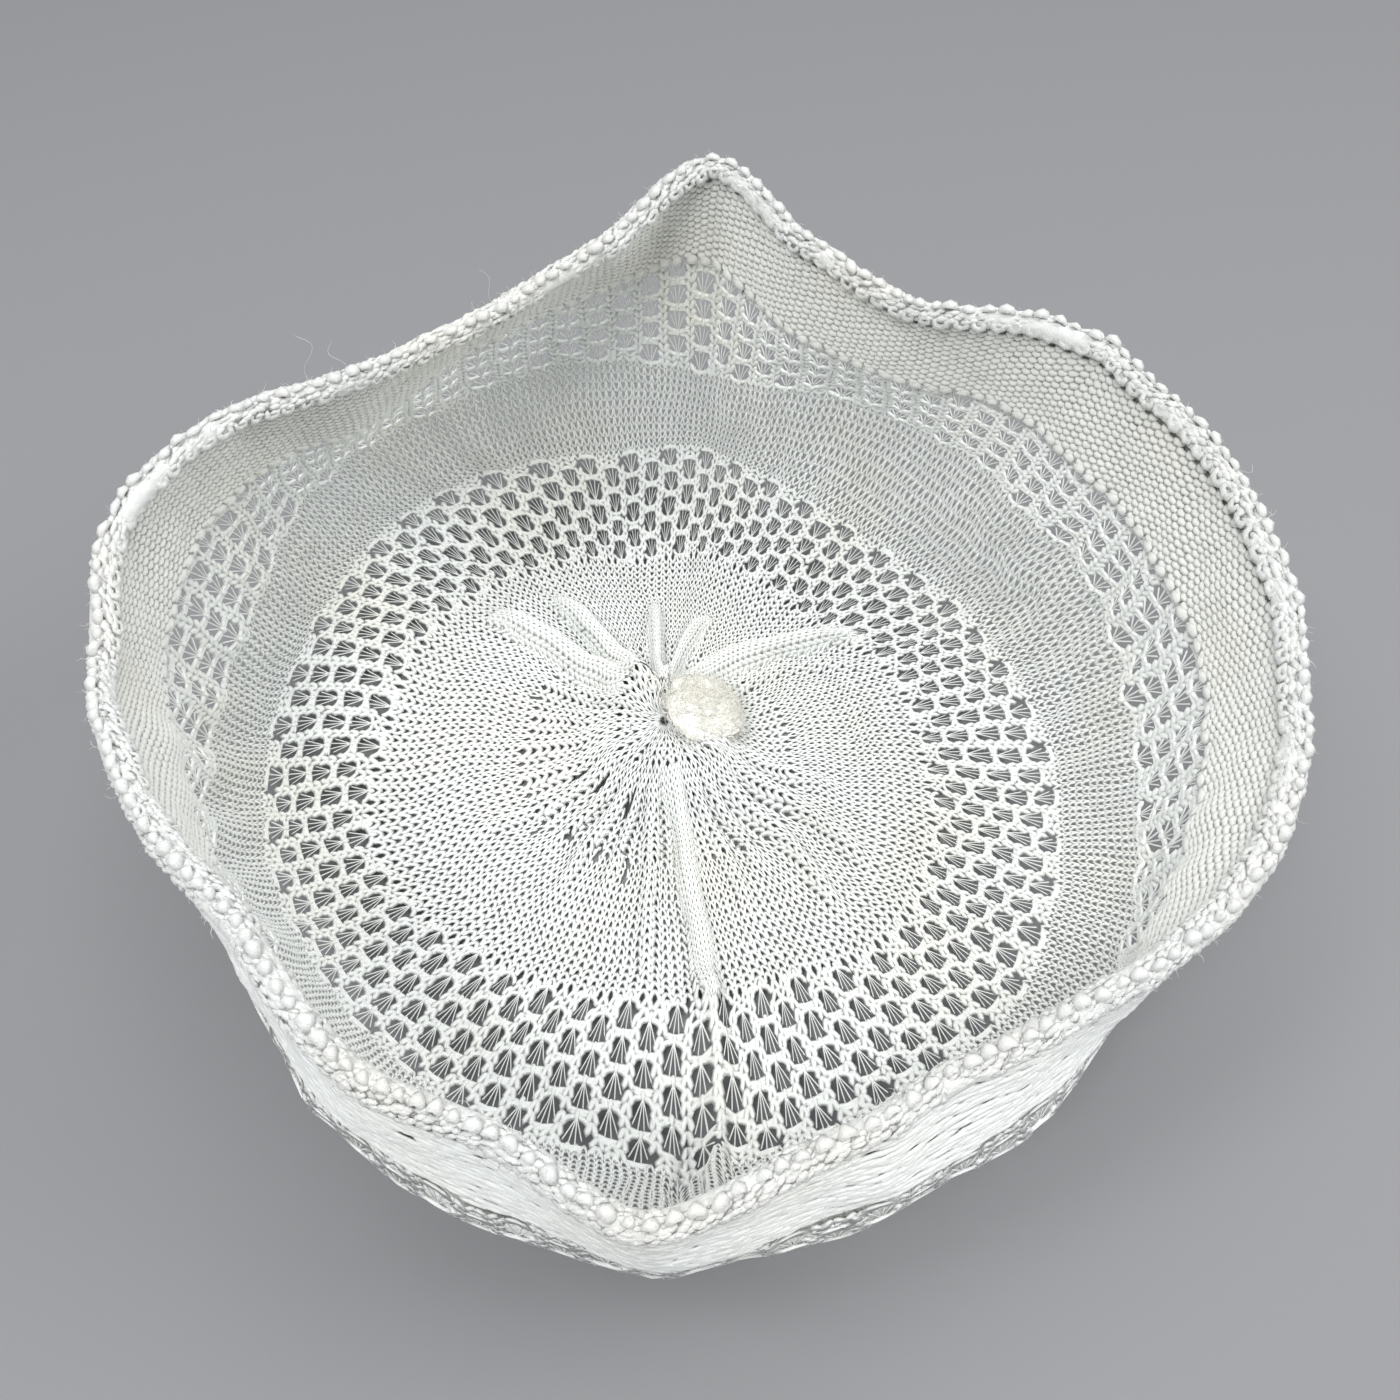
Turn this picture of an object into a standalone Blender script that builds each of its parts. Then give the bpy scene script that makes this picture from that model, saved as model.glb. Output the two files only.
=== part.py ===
"""Prayer cap: a knitted cotton cap that lies upside down on its crown, in metres, +Z up."""
import bmesh
import bpy
import numpy as np

for thing in list(bpy.data.objects):
    bpy.data.objects.remove(thing, do_unlink=True)

MM = 0.001

# Cloth and edge thicknesses in millimetres
BODY_WALL = 1.2
FACING_WALL = 1.2
PIECE_GAP = 0.35
ROLL_RADIUS = 1.9

# The run of the cloth from the gathered centre to the rim, ring by ring, in millimetres
CROWN_RUN = 48.0
LOWER_LACE_RUN = 22.0
PLAIN_RUN = 17.0
UPPER_LACE_RUN = 21.0
BAND_RUN = 20.0
CROWN_EDGE = CROWN_RUN
LACE_FOOT = CROWN_EDGE + LOWER_LACE_RUN
PLAIN_TOP = LACE_FOOT + PLAIN_RUN
FACING_EDGE = PLAIN_TOP + UPPER_LACE_RUN
RIM = FACING_EDGE + BAND_RUN

# Where the crown lies on what it rests on, in millimetres
GATHER_HEIGHT = 7.6
HUMP_FOOT = 14.0
HUMP_FOOT_HEIGHT = 1.8
FLAT_FROM = 20.0
FLAT_TO = 42.0
FLAT_HEIGHT = 0.0
CROWN_EDGE_HEIGHT = 0.9

# One section each 15 degrees of the knitting, clockwise from the far peak.
# lean: how far the wales turn from the section's own angle, in degrees.
# radius and height: millimetres from the gathered centre and above the resting plane.
SECTION_STEP = 15.0
SECTION_COLUMNS = (
    "lean_crown", "lean_rim",
    "radius_crown_edge", "radius_lace_foot", "radius_plain_top", "radius_facing_edge", "radius_rim",
    "height_lace_foot", "height_plain_top", "height_facing_edge", "height_rim",
)
SECTIONS = np.array([
    (2, 6, 45, 66, 71, 71, 67, 10, 26, 48, 67),
    (-5, 8, 44, 65, 66, 60, 57, 8, 25, 45, 64),
    (-7, 15, 40, 61, 67, 59, 55, 9, 24, 43, 61),
    (-5, 17, 38, 59, 64, 66, 66, 8, 24, 44, 63),
    (-5, 17, 42, 61, 64, 70, 75, 7, 23, 43, 61),
    (-5, 17, 46, 63, 71, 75, 82, 7, 22, 42, 59),
    (-3, 17, 46, 66, 75, 80, 87, 7, 21, 40, 57),
    (-2, 15, 46, 67, 78, 83, 91, 7, 19, 39, 55),
    (-2, 12, 47, 68, 82, 85, 93, 8, 16, 36, 54),
    (-4, 9, 49, 71, 84, 89, 91, 6, 14, 33, 52),
    (-6, 6, 49, 71, 84, 93, 90, 5, 14, 31, 50),
    (-7, 4, 47, 71, 84, 95, 94, 4, 13, 30, 49),
    (-7, 0, 49, 73, 85, 97, 99, 3, 14, 31, 50),
    (-7, -5, 48, 71, 84, 95, 93, 5, 16, 34, 54),
    (-8, -10, 48, 71, 82, 92, 91, 5, 19, 38, 57),
    (-9, -14, 49, 69, 78, 84, 84, 8, 21, 40, 60),
    (-8, -17, 51, 67, 73, 77, 81, 9, 23, 42, 60),
    (-4, -19, 52, 66, 73, 73, 79, 8, 23, 41, 58),
    (4, -21, 50, 66, 71, 73, 77, 6, 21, 40, 55),
    (11, -19, 53, 67, 68, 71, 74, 6, 23, 42, 58),
    (13, -18, 53, 69, 70, 67, 64, 8, 24, 43, 60),
    (11, -15, 51, 70, 70, 60, 52, 8, 24, 41, 58),
    (9, -4, 48, 68, 69, 61, 48, 8, 24, 44, 59),
    (5, 5, 45, 65, 71, 66, 54, 9, 26, 46, 62),
], float)

# Sharp upright corners of the wall.
# at and half_width: degrees of the knitting. out and up: millimetres at the rim. start: run where it begins.
CORNER_COLUMNS = ("at", "half_width", "out", "up", "start")
CORNERS = [
    (1.5, 10, 0.5, 1.4, 87),
    (52, 9, 1.2, 0.5, 87),
    (180, 9, 1.0, -0.5, 60),
]

# Folds that stand up from the cloth, on the inner face.
# from_angle and to_angle: degrees of the knitting. from_run, to_run, height and half_width: millimetres.
FOLD_COLUMNS = ("from_angle", "to_angle", "from_run", "to_run", "height", "half_width")
FOLDS = [
    (178, 177, 6, 103, 2.6, 3.0),
    (184, 183, 10, 40, 1.4, 2.6),
    (326, 293, 8, 46, 2.6, 3.2),
    (324, 321, 10, 36, 2.0, 2.8),
    (358, 356, 8, 30, 1.8, 2.2),
    (20, 26, 10, 32, 1.6, 2.4),
    (40, 68, 14, 50, 1.9, 3.2),
    (100, 128, 9, 42, 1.8, 2.8),
    (112, 140, 10, 44, 1.4, 2.4),
    (150, 153, 8, 34, 1.5, 2.4),
    (206, 212, 8, 34, 1.5, 2.4),
    (236, 238, 8, 30, 1.2, 2.4),
    (264, 262, 8, 30, 1.1, 2.4),
]
FOLD_FADE = 9.0

# Meshes: stations around the knitting and rows along the run
AROUND = 96
CROWN_ROWS = (5.0, 10.0, 15.0, 21.0, 28.0, 35.0, 42.0)
WALL_ROWS = (48.0, 55.0, 62.0, 70.0, 78.0, 87.0, 97.0, 103.0, 108.0, 118.0)
ROLL_SIDES = 8
ROLL_INWARD = -0.3
STEP_START = 103.0
STEP_END = 108.0
BODY_SHIFT = 0.9
FACING_INNER = 0.75
SHEAR_ALLOWANCE = 0.7
TUFT_CLEARANCE = 0.8

# Tuft of fibre at the gather: plan position and sizes in millimetres
TUFT_AT = (5.5, 3.5)
TUFT_HALF = (6.5, 8.0)
TUFT_THICKNESS = 2.6
TUFT_EDGE = 0.5
TUFT_RINGS = 4
TUFT_SIDES = 20

# From the gathered centre to the middle of the cap's box, in millimetres
BOX_MIDDLE = (4.5, -14.6)


def column(name):
    """One named column of the section table."""
    return SECTIONS[:, SECTION_COLUMNS.index(name)]


def around(values, angle):
    """A smooth closed curve through one value for each section."""
    place = (angle % 360.0) / SECTION_STEP
    first = np.floor(place).astype(int)
    share = place - first
    count = len(values)
    before, left, right, after = (values[(first + k) % count] for k in (-1, 0, 1, 2))
    return 0.5 * (
        2 * left
        + (right - before) * share
        + (2 * before - 5 * left + 4 * right - after) * share**2
        + (3 * left - before - 3 * right + after) * share**3
    )


def steady_slopes(knots, values):
    """Slopes that keep a curve from swinging past its own knots."""
    gaps = [knots[k + 1] - knots[k] for k in range(len(knots) - 1)]
    rise = [(values[k + 1] - values[k]) / gaps[k] for k in range(len(gaps))]
    slopes = [rise[0]]
    for k in range(1, len(rise)):
        same_way = rise[k - 1] * rise[k] > 0
        total = np.where(same_way, rise[k - 1] + rise[k], 1.0)
        slopes.append(np.where(same_way, 2 * rise[k - 1] * rise[k] / total, 0.0))
    slopes.append(rise[-1])
    return slopes


def along(knots, values, run):
    """A steady curve along the run of the cloth through its knots, straight on past the rim."""
    slopes = steady_slopes(knots, values)
    result = values[-1] + slopes[-1] * (run - knots[-1])
    for k in reversed(range(len(knots) - 1)):
        gap = knots[k + 1] - knots[k]
        t = np.clip((run - knots[k]) / gap, 0.0, 1.0)
        piece = (
            (2 * t**3 - 3 * t**2 + 1) * values[k]
            + (t**3 - 2 * t**2 + t) * gap * slopes[k]
            + (3 * t**2 - 2 * t**3) * values[k + 1]
            + (t**3 - t**2) * gap * slopes[k + 1]
        )
        result = np.where(run < knots[k + 1], piece, result)
    return result


def smooth_step(value, start, end):
    """Nought before start, one after end, and smooth between."""
    t = np.clip((value - start) / (end - start), 0.0, 1.0)
    return t * t * (3 - 2 * t)


def fold_free(angle, run):
    """The inner face of the cap without its folds, in millimetres from the gathered centre."""
    edge_radius = around(column("radius_crown_edge"), angle)
    level = np.zeros_like(edge_radius)
    knots = (0.0, HUMP_FOOT, FLAT_FROM, FLAT_TO, CROWN_EDGE, LACE_FOOT, PLAIN_TOP, FACING_EDGE, RIM)
    radii = [
        level,
        edge_radius * HUMP_FOOT / CROWN_RUN,
        edge_radius * FLAT_FROM / CROWN_RUN,
        edge_radius * FLAT_TO / CROWN_RUN,
        edge_radius,
        around(column("radius_lace_foot"), angle),
        around(column("radius_plain_top"), angle),
        around(column("radius_facing_edge"), angle),
        around(column("radius_rim"), angle),
    ]
    heights = [
        level + GATHER_HEIGHT,
        level + HUMP_FOOT_HEIGHT,
        level + FLAT_HEIGHT,
        level + FLAT_HEIGHT,
        level + CROWN_EDGE_HEIGHT,
        around(column("height_lace_foot"), angle),
        around(column("height_plain_top"), angle),
        around(column("height_facing_edge"), angle),
        around(column("height_rim"), angle),
    ]
    radius = along(knots, radii, run)
    height = along(knots, heights, run)
    ring = np.interp(run, (CROWN_EDGE, LACE_FOOT, PLAIN_TOP, FACING_EDGE, RIM), (0, 0.25, 0.5, 0.75, 1))
    lean = around(column("lean_crown"), angle) * (1 - ring) + around(column("lean_rim"), angle) * ring
    for at, half_width, out, up, start in CORNERS:
        off = np.abs((angle - at + 180.0) % 360.0 - 180.0) / half_width
        sharp = np.clip(1 - off, 0, 1) ** 2 * np.clip((run - start) / (RIM - start), 0, 1.1)
        radius = radius + out * sharp
        height = height + up * sharp
    turn = np.radians(angle + lean)
    return np.stack([radius * np.sin(turn), radius * np.cos(turn), height], axis=-1)


def facing_in(angle, run):
    """Unit normal of the fold-free face, towards the hollow."""
    nudge = 0.5
    across = fold_free(angle + nudge, run) - fold_free(angle - nudge, run)
    down = np.maximum(run - nudge, 0.0)
    outward = fold_free(angle, run + nudge) - fold_free(angle, down)
    normal = np.cross(across, outward)
    length = np.linalg.norm(normal, axis=-1, keepdims=True)
    upright = np.zeros_like(normal)
    upright[..., 2] = 1.0
    return np.where(length > 1e-9, normal / np.maximum(length, 1e-9), upright)


def fold_height(angle, run):
    """How far the folds lift the cloth, in millimetres."""
    total = np.zeros_like(run)
    radius = np.linalg.norm(fold_free(angle, run)[..., :2], axis=-1)
    for from_angle, to_angle, from_run, to_run, height, half_width in FOLDS:
        share = np.clip((run - from_run) / (to_run - from_run), 0, 1)
        middle = from_angle + (to_angle - from_angle) * share
        off = ((angle - middle + 180.0) % 360.0 - 180.0) * np.radians(1.0) * radius
        ends = smooth_step(run, from_run - 3.0, from_run + 3.0) * (1 - smooth_step(run, to_run - FOLD_FADE, to_run))
        total = total + height * np.exp(-((off / half_width) ** 2)) * ends
    return total


def face(angle, run, inward):
    """A face of the cloth that stands the given distance in from the photographed inner face."""
    angle, run, inward = np.broadcast_arrays(angle, run, inward)
    angle = angle.astype(float)
    run = run.astype(float)
    shift = (inward + fold_height(angle, run))[..., None]
    points = fold_free(angle, run) + facing_in(angle, run) * shift
    points[..., 2] += BODY_WALL
    return points


def add_piece(name, points, faces, colour, roughness):
    """One closed mesh with its own material, moved to the middle of the box."""
    middle = np.array([BOX_MIDDLE[0], BOX_MIDDLE[1], 0.0])
    mesh = bpy.data.meshes.new(name)
    mesh.from_pydata(((points - middle) * MM).tolist(), [], faces)
    shell = bmesh.new()
    shell.from_mesh(mesh)
    bmesh.ops.recalc_face_normals(shell, faces=shell.faces)
    shell.to_mesh(mesh)
    shell.free()
    for polygon in mesh.polygons:
        polygon.use_smooth = True
    made = bpy.data.objects.new(name, mesh)
    bpy.context.scene.collection.objects.link(made)
    material = bpy.data.materials.new(name + "_cotton")
    material.use_nodes = True
    shader = material.node_tree.nodes["Principled BSDF"]
    shader.inputs["Base Color"].default_value = (*colour, 1.0)
    shader.inputs["Roughness"].default_value = roughness
    shader.inputs["Metallic"].default_value = 0.0
    material.diffuse_color = (*colour, 1.0)
    mesh.materials.append(material)
    return made


def ring_faces(low, high, count):
    """Triangles between two rings of points, given by the index where each ring starts."""
    faces = []
    for k in range(count):
        after = (k + 1) % count
        faces.append((low + k, low + after, high + after))
        faces.append((low + k, high + after, high + k))
    return faces


angles = np.arange(AROUND) * 360.0 / AROUND
last_run = RIM - ROLL_RADIUS - PIECE_GAP - SHEAR_ALLOWANCE

# The knitted body: an inner and an outer face from the gather to just under the rim roll
body_runs = (*CROWN_ROWS, *WALL_ROWS, last_run)
inner_rings = []
outer_rings = []
for run_here in body_runs:
    pushed_out = BODY_SHIFT * smooth_step(run_here, STEP_START, STEP_END)
    inner_rings.append(face(angles, run_here, -pushed_out))
    outer_rings.append(face(angles, run_here, -pushed_out - BODY_WALL))
inner_pole = np.array([[0.0, 0.0, GATHER_HEIGHT + BODY_WALL]])
outer_pole = np.array([[0.0, 0.0, GATHER_HEIGHT]])
body_points = np.vstack([inner_pole, outer_pole, *inner_rings, *outer_rings])
rows = len(body_runs)
inner_start = [2 + k * AROUND for k in range(rows)]
outer_start = [2 + (rows + k) * AROUND for k in range(rows)]
body_faces = []
for k in range(AROUND):
    after = (k + 1) % AROUND
    body_faces.append((0, inner_start[0] + after, inner_start[0] + k))
    body_faces.append((1, outer_start[0] + k, outer_start[0] + after))
for k in range(rows - 1):
    body_faces += ring_faces(inner_start[k], inner_start[k + 1], AROUND)
    body_faces += ring_faces(outer_start[k], outer_start[k + 1], AROUND)
body_faces += ring_faces(inner_start[-1], outer_start[-1], AROUND)
add_piece("knit_body", body_points, body_faces, (0.80, 0.83, 0.80), 0.85)

# The turned-in layer of the band
facing_runs = (FACING_EDGE, FACING_EDGE + BAND_RUN / 2, last_run)
facing_inner = [face(angles, run_here, FACING_INNER) for run_here in facing_runs]
facing_outer = [face(angles, run_here, FACING_INNER - FACING_WALL) for run_here in facing_runs]
facing_points = np.vstack([*facing_inner, *facing_outer])
rows = len(facing_runs)
facing_faces = []
for k in range(rows - 1):
    facing_faces += ring_faces(k * AROUND, (k + 1) * AROUND, AROUND)
    facing_faces += ring_faces((rows + k) * AROUND, (rows + k + 1) * AROUND, AROUND)
facing_faces += ring_faces((rows - 1) * AROUND, (2 * rows - 1) * AROUND, AROUND)
facing_faces += ring_faces(rows * AROUND, 0, AROUND)
add_piece("hem_facing", facing_points, facing_faces, (0.84, 0.85, 0.81), 0.85)

# The thick rolled edge over both layers
roll_middle = face(angles, RIM, ROLL_INWARD)
roll_in = facing_in(angles, np.full(AROUND, RIM))
roll_tangent = np.roll(roll_middle, -1, axis=0) - np.roll(roll_middle, 1, axis=0)
roll_tangent /= np.linalg.norm(roll_tangent, axis=1, keepdims=True)
roll_up = np.cross(roll_tangent, roll_in)
roll_up /= np.linalg.norm(roll_up, axis=1, keepdims=True)
roll_points = []
for k in range(ROLL_SIDES):
    turn_here = 2 * np.pi * (k + 0.5) / ROLL_SIDES
    roll_points.append(roll_middle + ROLL_RADIUS * (np.cos(turn_here) * roll_in + np.sin(turn_here) * roll_up))
roll_faces = []
for k in range(ROLL_SIDES):
    roll_faces += ring_faces(k * AROUND, ((k + 1) % ROLL_SIDES) * AROUND, AROUND)
add_piece("picot_rim", np.vstack(roll_points), roll_faces, (0.86, 0.87, 0.84), 0.85)


def crown_height(x, y):
    """Height of the crown's inner face at a place in plan, near the gather."""
    turn = np.degrees(np.arctan2(x, y)) % 360.0
    sample = np.arange(0.0, 360.0, 1.0)
    turned = sample + around(column("lean_crown"), sample)
    angle = np.interp(turn, turned, sample, period=360.0)
    run = np.hypot(x, y) * CROWN_RUN / around(column("radius_crown_edge"), angle)
    return face(angle, run, 0.0)[..., 2]


# The felted pad that lies on the gather, its underside a small gap above the cloth
tuft_turns = np.arange(TUFT_SIDES) * 2 * np.pi / TUFT_SIDES
tuft_under = []
tuft_over = []
for k in range(TUFT_RINGS + 1):
    share = k / TUFT_RINGS
    x = TUFT_AT[0] + TUFT_HALF[0] * share * np.cos(tuft_turns)
    y = TUFT_AT[1] + TUFT_HALF[1] * share * np.sin(tuft_turns)
    under = crown_height(x, y) + TUFT_CLEARANCE
    thick = TUFT_EDGE + (TUFT_THICKNESS - TUFT_EDGE) * np.sqrt(1 - share**2)
    tuft_under.append(np.stack([x, y, under], axis=-1))
    tuft_over.append(np.stack([x, y, under + thick], axis=-1))
tuft_points = np.vstack([tuft_under[0][:1], tuft_over[0][:1], *tuft_under[1:], *tuft_over[1:]])
under_start = [2 + k * TUFT_SIDES for k in range(TUFT_RINGS)]
over_start = [2 + (TUFT_RINGS + k) * TUFT_SIDES for k in range(TUFT_RINGS)]
tuft_faces = []
for k in range(TUFT_SIDES):
    after = (k + 1) % TUFT_SIDES
    tuft_faces.append((0, under_start[0] + after, under_start[0] + k))
    tuft_faces.append((1, over_start[0] + k, over_start[0] + after))
for k in range(TUFT_RINGS - 1):
    tuft_faces += ring_faces(under_start[k], under_start[k + 1], TUFT_SIDES)
    tuft_faces += ring_faces(over_start[k], over_start[k + 1], TUFT_SIDES)
tuft_faces += ring_faces(under_start[-1], over_start[-1], TUFT_SIDES)
add_piece("crown_tuft", tuft_points, tuft_faces, (0.93, 0.91, 0.85), 0.95)
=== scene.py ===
"""Prayer cap in white knitted cotton, lying upside down on its gathered crown."""

import bmesh
import bpy
import numpy as np
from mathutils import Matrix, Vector, noise


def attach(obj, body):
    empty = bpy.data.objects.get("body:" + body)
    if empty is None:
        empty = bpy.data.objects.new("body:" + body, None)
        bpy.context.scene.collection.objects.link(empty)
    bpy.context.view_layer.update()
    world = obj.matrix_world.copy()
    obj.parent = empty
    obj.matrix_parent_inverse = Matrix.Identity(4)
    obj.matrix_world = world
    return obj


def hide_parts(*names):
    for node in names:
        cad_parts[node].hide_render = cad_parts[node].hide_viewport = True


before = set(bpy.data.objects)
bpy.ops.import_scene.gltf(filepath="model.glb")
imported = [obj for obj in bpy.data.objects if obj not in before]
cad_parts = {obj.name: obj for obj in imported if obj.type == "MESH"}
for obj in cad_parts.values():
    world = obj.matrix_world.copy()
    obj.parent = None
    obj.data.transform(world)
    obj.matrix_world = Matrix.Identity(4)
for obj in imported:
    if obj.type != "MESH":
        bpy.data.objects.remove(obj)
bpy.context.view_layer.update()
MM = 0.001

# ---- Gathered crown ----
# Plain knitting in fine white cotton, worked in rings. The wales are drawn together at the gather: every
# second one ends at each step inwards, and the cloth lies flat on what it rests on.

# The crown is where one slack knitted tube begins, and the whole tube has slumped into the sections below.
# The wall's thickness, and how far it steps outwards under the turned-in band, in millimetres
BODY_WALL = 1.2
BODY_SHIFT = 0.9
STEP_START, STEP_END = 103.0, 108.0
# Runs of the cloth, in millimetres from the gather, where one ring ends and the next begins
CROWN_EDGE, LACE_FOOT, PLAIN_TOP, FACING_EDGE, RIM = 48.0, 70.0, 87.0, 108.0, 128.0
# The gather stands up in a small hump, and the crown lies flat round it
GATHER_HEIGHT = 7.6
HUMP_FOOT, HUMP_FOOT_HEIGHT = 14.0, 1.8
FLAT_FROM, FLAT_TO, FLAT_HEIGHT = 20.0, 42.0, 0.0
CROWN_EDGE_HEIGHT = 0.9
BOX_MIDDLE = (4.5, -14.6)

# One section each 15 degrees of the knitting, clockwise from the far peak, in degrees and millimetres
SECTION_STEP = 15.0
SECTION_COLUMNS = (
    "lean_crown", "lean_rim",
    "radius_crown_edge", "radius_lace_foot", "radius_plain_top", "radius_facing_edge", "radius_rim",
    "height_lace_foot", "height_plain_top", "height_facing_edge", "height_rim",
)
SECTIONS = np.array([
    (2, 6, 45, 66, 71, 71, 67, 10, 26, 48, 67),
    (-5, 8, 44, 65, 66, 60, 57, 8, 25, 45, 64),
    (-7, 15, 40, 61, 67, 59, 55, 9, 24, 43, 61),
    (-5, 17, 38, 59, 64, 66, 66, 8, 24, 44, 63),
    (-5, 17, 42, 61, 64, 70, 75, 7, 23, 43, 61),
    (-5, 17, 46, 63, 71, 75, 82, 7, 22, 42, 59),
    (-3, 17, 46, 66, 75, 80, 87, 7, 21, 40, 57),
    (-2, 15, 46, 67, 78, 83, 91, 7, 19, 39, 55),
    (-2, 12, 47, 68, 82, 85, 93, 8, 16, 36, 54),
    (-4, 9, 49, 71, 84, 89, 91, 6, 14, 33, 52),
    (-6, 6, 49, 71, 84, 93, 90, 5, 14, 31, 50),
    (-7, 4, 47, 71, 84, 95, 94, 4, 13, 30, 49),
    (-7, 0, 49, 73, 85, 97, 99, 3, 14, 31, 50),
    (-7, -5, 48, 71, 84, 95, 93, 5, 16, 34, 54),
    (-8, -10, 48, 71, 82, 92, 91, 5, 19, 38, 57),
    (-9, -14, 49, 69, 78, 84, 84, 8, 21, 40, 60),
    (-8, -17, 51, 67, 73, 77, 81, 9, 23, 42, 60),
    (-4, -19, 52, 66, 73, 73, 79, 8, 23, 41, 58),
    (4, -21, 50, 66, 71, 73, 77, 6, 21, 40, 55),
    (11, -19, 53, 67, 68, 71, 74, 6, 23, 42, 58),
    (13, -18, 53, 69, 70, 67, 64, 8, 24, 43, 60),
    (11, -15, 51, 70, 70, 60, 52, 8, 24, 41, 58),
    (9, -4, 48, 68, 69, 61, 48, 8, 24, 44, 59),
    (5, 5, 45, 65, 71, 66, 54, 9, 26, 46, 62),
], float)
# How far the lean has gone from the crown's to the rim's at each end of a ring
LEAN_SHARES = (0, 0.25, 0.5, 0.75, 1)

# at, half_width, out, up, start: sharp upright corners of the wall
CORNERS = [
    (1.5, 10, 0.5, 1.4, 87),
    (52, 9, 1.2, 0.5, 87),
    (180, 9, 1.0, -0.5, 60),
]
CORNER_PAST_RIM = 1.1

# from_angle, to_angle, from_run, to_run, height, half_width: folds and pleats that stand up on the inner
# face, the six broad ones first
FOLDS = [
    (178, 178, 5, 54, 3.0, 1.9),
    (313, 299, 5, 43, 4.2, 2.5),
    (329, 317, 6, 41, 3.8, 2.2),
    (352, 352, 8, 38, 3.2, 1.6),
    (3, 24, 9, 38, 3.0, 1.7),
    (26, 63, 12, 52, 3.8, 2.2),
    (44, 70, 16, 46, 1.6, 1.5),
    (104, 111, 7, 36, 1.8, 1.5),
    (118, 129, 6, 44, 3.0, 1.9),
    (133, 146, 6, 46, 2.6, 1.6),
    (146, 156, 6, 34, 1.7, 1.1),
    (160, 164, 6, 40, 1.7, 1.1),
    (193, 188, 5, 50, 2.2, 1.2),
    (204, 205, 5, 34, 1.7, 0.9),
    (216, 219, 6, 38, 1.9, 1.1),
    (226, 231, 5, 30, 1.6, 0.9),
    (241, 246, 6, 36, 1.8, 1.1),
    (253, 257, 6, 28, 1.2, 0.9),
    (268, 268, 6, 30, 1.1, 1.1),
    (280, 277, 6, 26, 1.2, 1.1),
    (296, 288, 6, 28, 1.6, 1.3),
    (341, 336, 7, 26, 1.4, 0.9),
    (178, 178, 47, 106, 3.5, 1.5),
]
FOLD_RISE = 3.0
FOLD_FADE = 9.0
FOLD_SQUARENESS = 3
# The seam dips in beside the near corner, in the same columns
SEAM_DIP = (183, 181.5, 8, 108, -2.2, 1.2)
# The cloth can't dip below what it lies on, as far out as the foot of the wall
LYING_UNDER = -0.1
LYING_FADE = 14.0

# middle_angle, spread, middle_run, reach, depth, waves_round: places where the slack wall is rippled
RIPPLES = [
    (72, 26, 80, 22, 1.0, 46),
    (110, 22, 96, 16, 0.8, 52),
    (268, 34, 84, 20, 0.9, 44),
    (320, 24, 80, 18, 0.9, 40),
    (20, 16, 74, 16, 0.9, 50),
    (215, 24, 108, 12, 0.5, 23),
    (150, 20, 106, 12, 0.5, 19),
]
RIPPLE_SLANT = 0.11
# Degrees and millimetres to both sides of a place over which its slope is taken
NORMAL_STEP = 0.5


def column(name):
    """One named column of the section table."""
    return SECTIONS[:, SECTION_COLUMNS.index(name)]


def around(values, angle):
    """A smooth closed curve through one value for each section."""
    count = len(values)
    place = (angle / SECTION_STEP) % count
    first = np.floor(place).astype(int)
    share = place - first
    before, left, right, after = (values[(first + k) % count] for k in (-1, 0, 1, 2))
    return 0.5 * (
        2 * left
        + (right - before) * share
        + (2 * before - 5 * left + 4 * right - after) * share**2
        + (3 * left - before - 3 * right + after) * share**3
    )


def steady_slopes(knots, values):
    """Slopes that keep a curve from swinging past its own knots."""
    rise = [(values[k + 1] - values[k]) / (knots[k + 1] - knots[k]) for k in range(len(knots) - 1)]
    slopes = [rise[0]]
    for k in range(1, len(rise)):
        same_way = rise[k - 1] * rise[k] > 0
        total = np.where(same_way, rise[k - 1] + rise[k], 1.0)
        slopes.append(np.where(same_way, 2 * rise[k - 1] * rise[k] / total, 0.0))
    slopes.append(rise[-1])
    return slopes


def along(knots, values, run):
    """A steady curve along the run of the cloth through its knots, straight on past the rim."""
    slopes = steady_slopes(knots, values)
    result = values[-1] + slopes[-1] * (run - knots[-1])
    for k in reversed(range(len(knots) - 1)):
        gap = knots[k + 1] - knots[k]
        t = np.clip((run - knots[k]) / gap, 0.0, 1.0)
        piece = (
            (2 * t**3 - 3 * t**2 + 1) * values[k]
            + (t**3 - 2 * t**2 + t) * gap * slopes[k]
            + (3 * t**2 - 2 * t**3) * values[k + 1]
            + (t**3 - t**2) * gap * slopes[k + 1]
        )
        result = np.where(run < knots[k + 1], piece, result)
    return result


def smooth_step(value, start, end):
    """Nought before start, one after end, and smooth between."""
    t = np.clip((value - start) / (end - start), 0.0, 1.0)
    return t * t * (3 - 2 * t)


def degrees_past(angle, middle):
    """How far an angle lies past another, from -180 to 180 degrees."""
    return (angle - middle + 180.0) % 360.0 - 180.0


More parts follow.
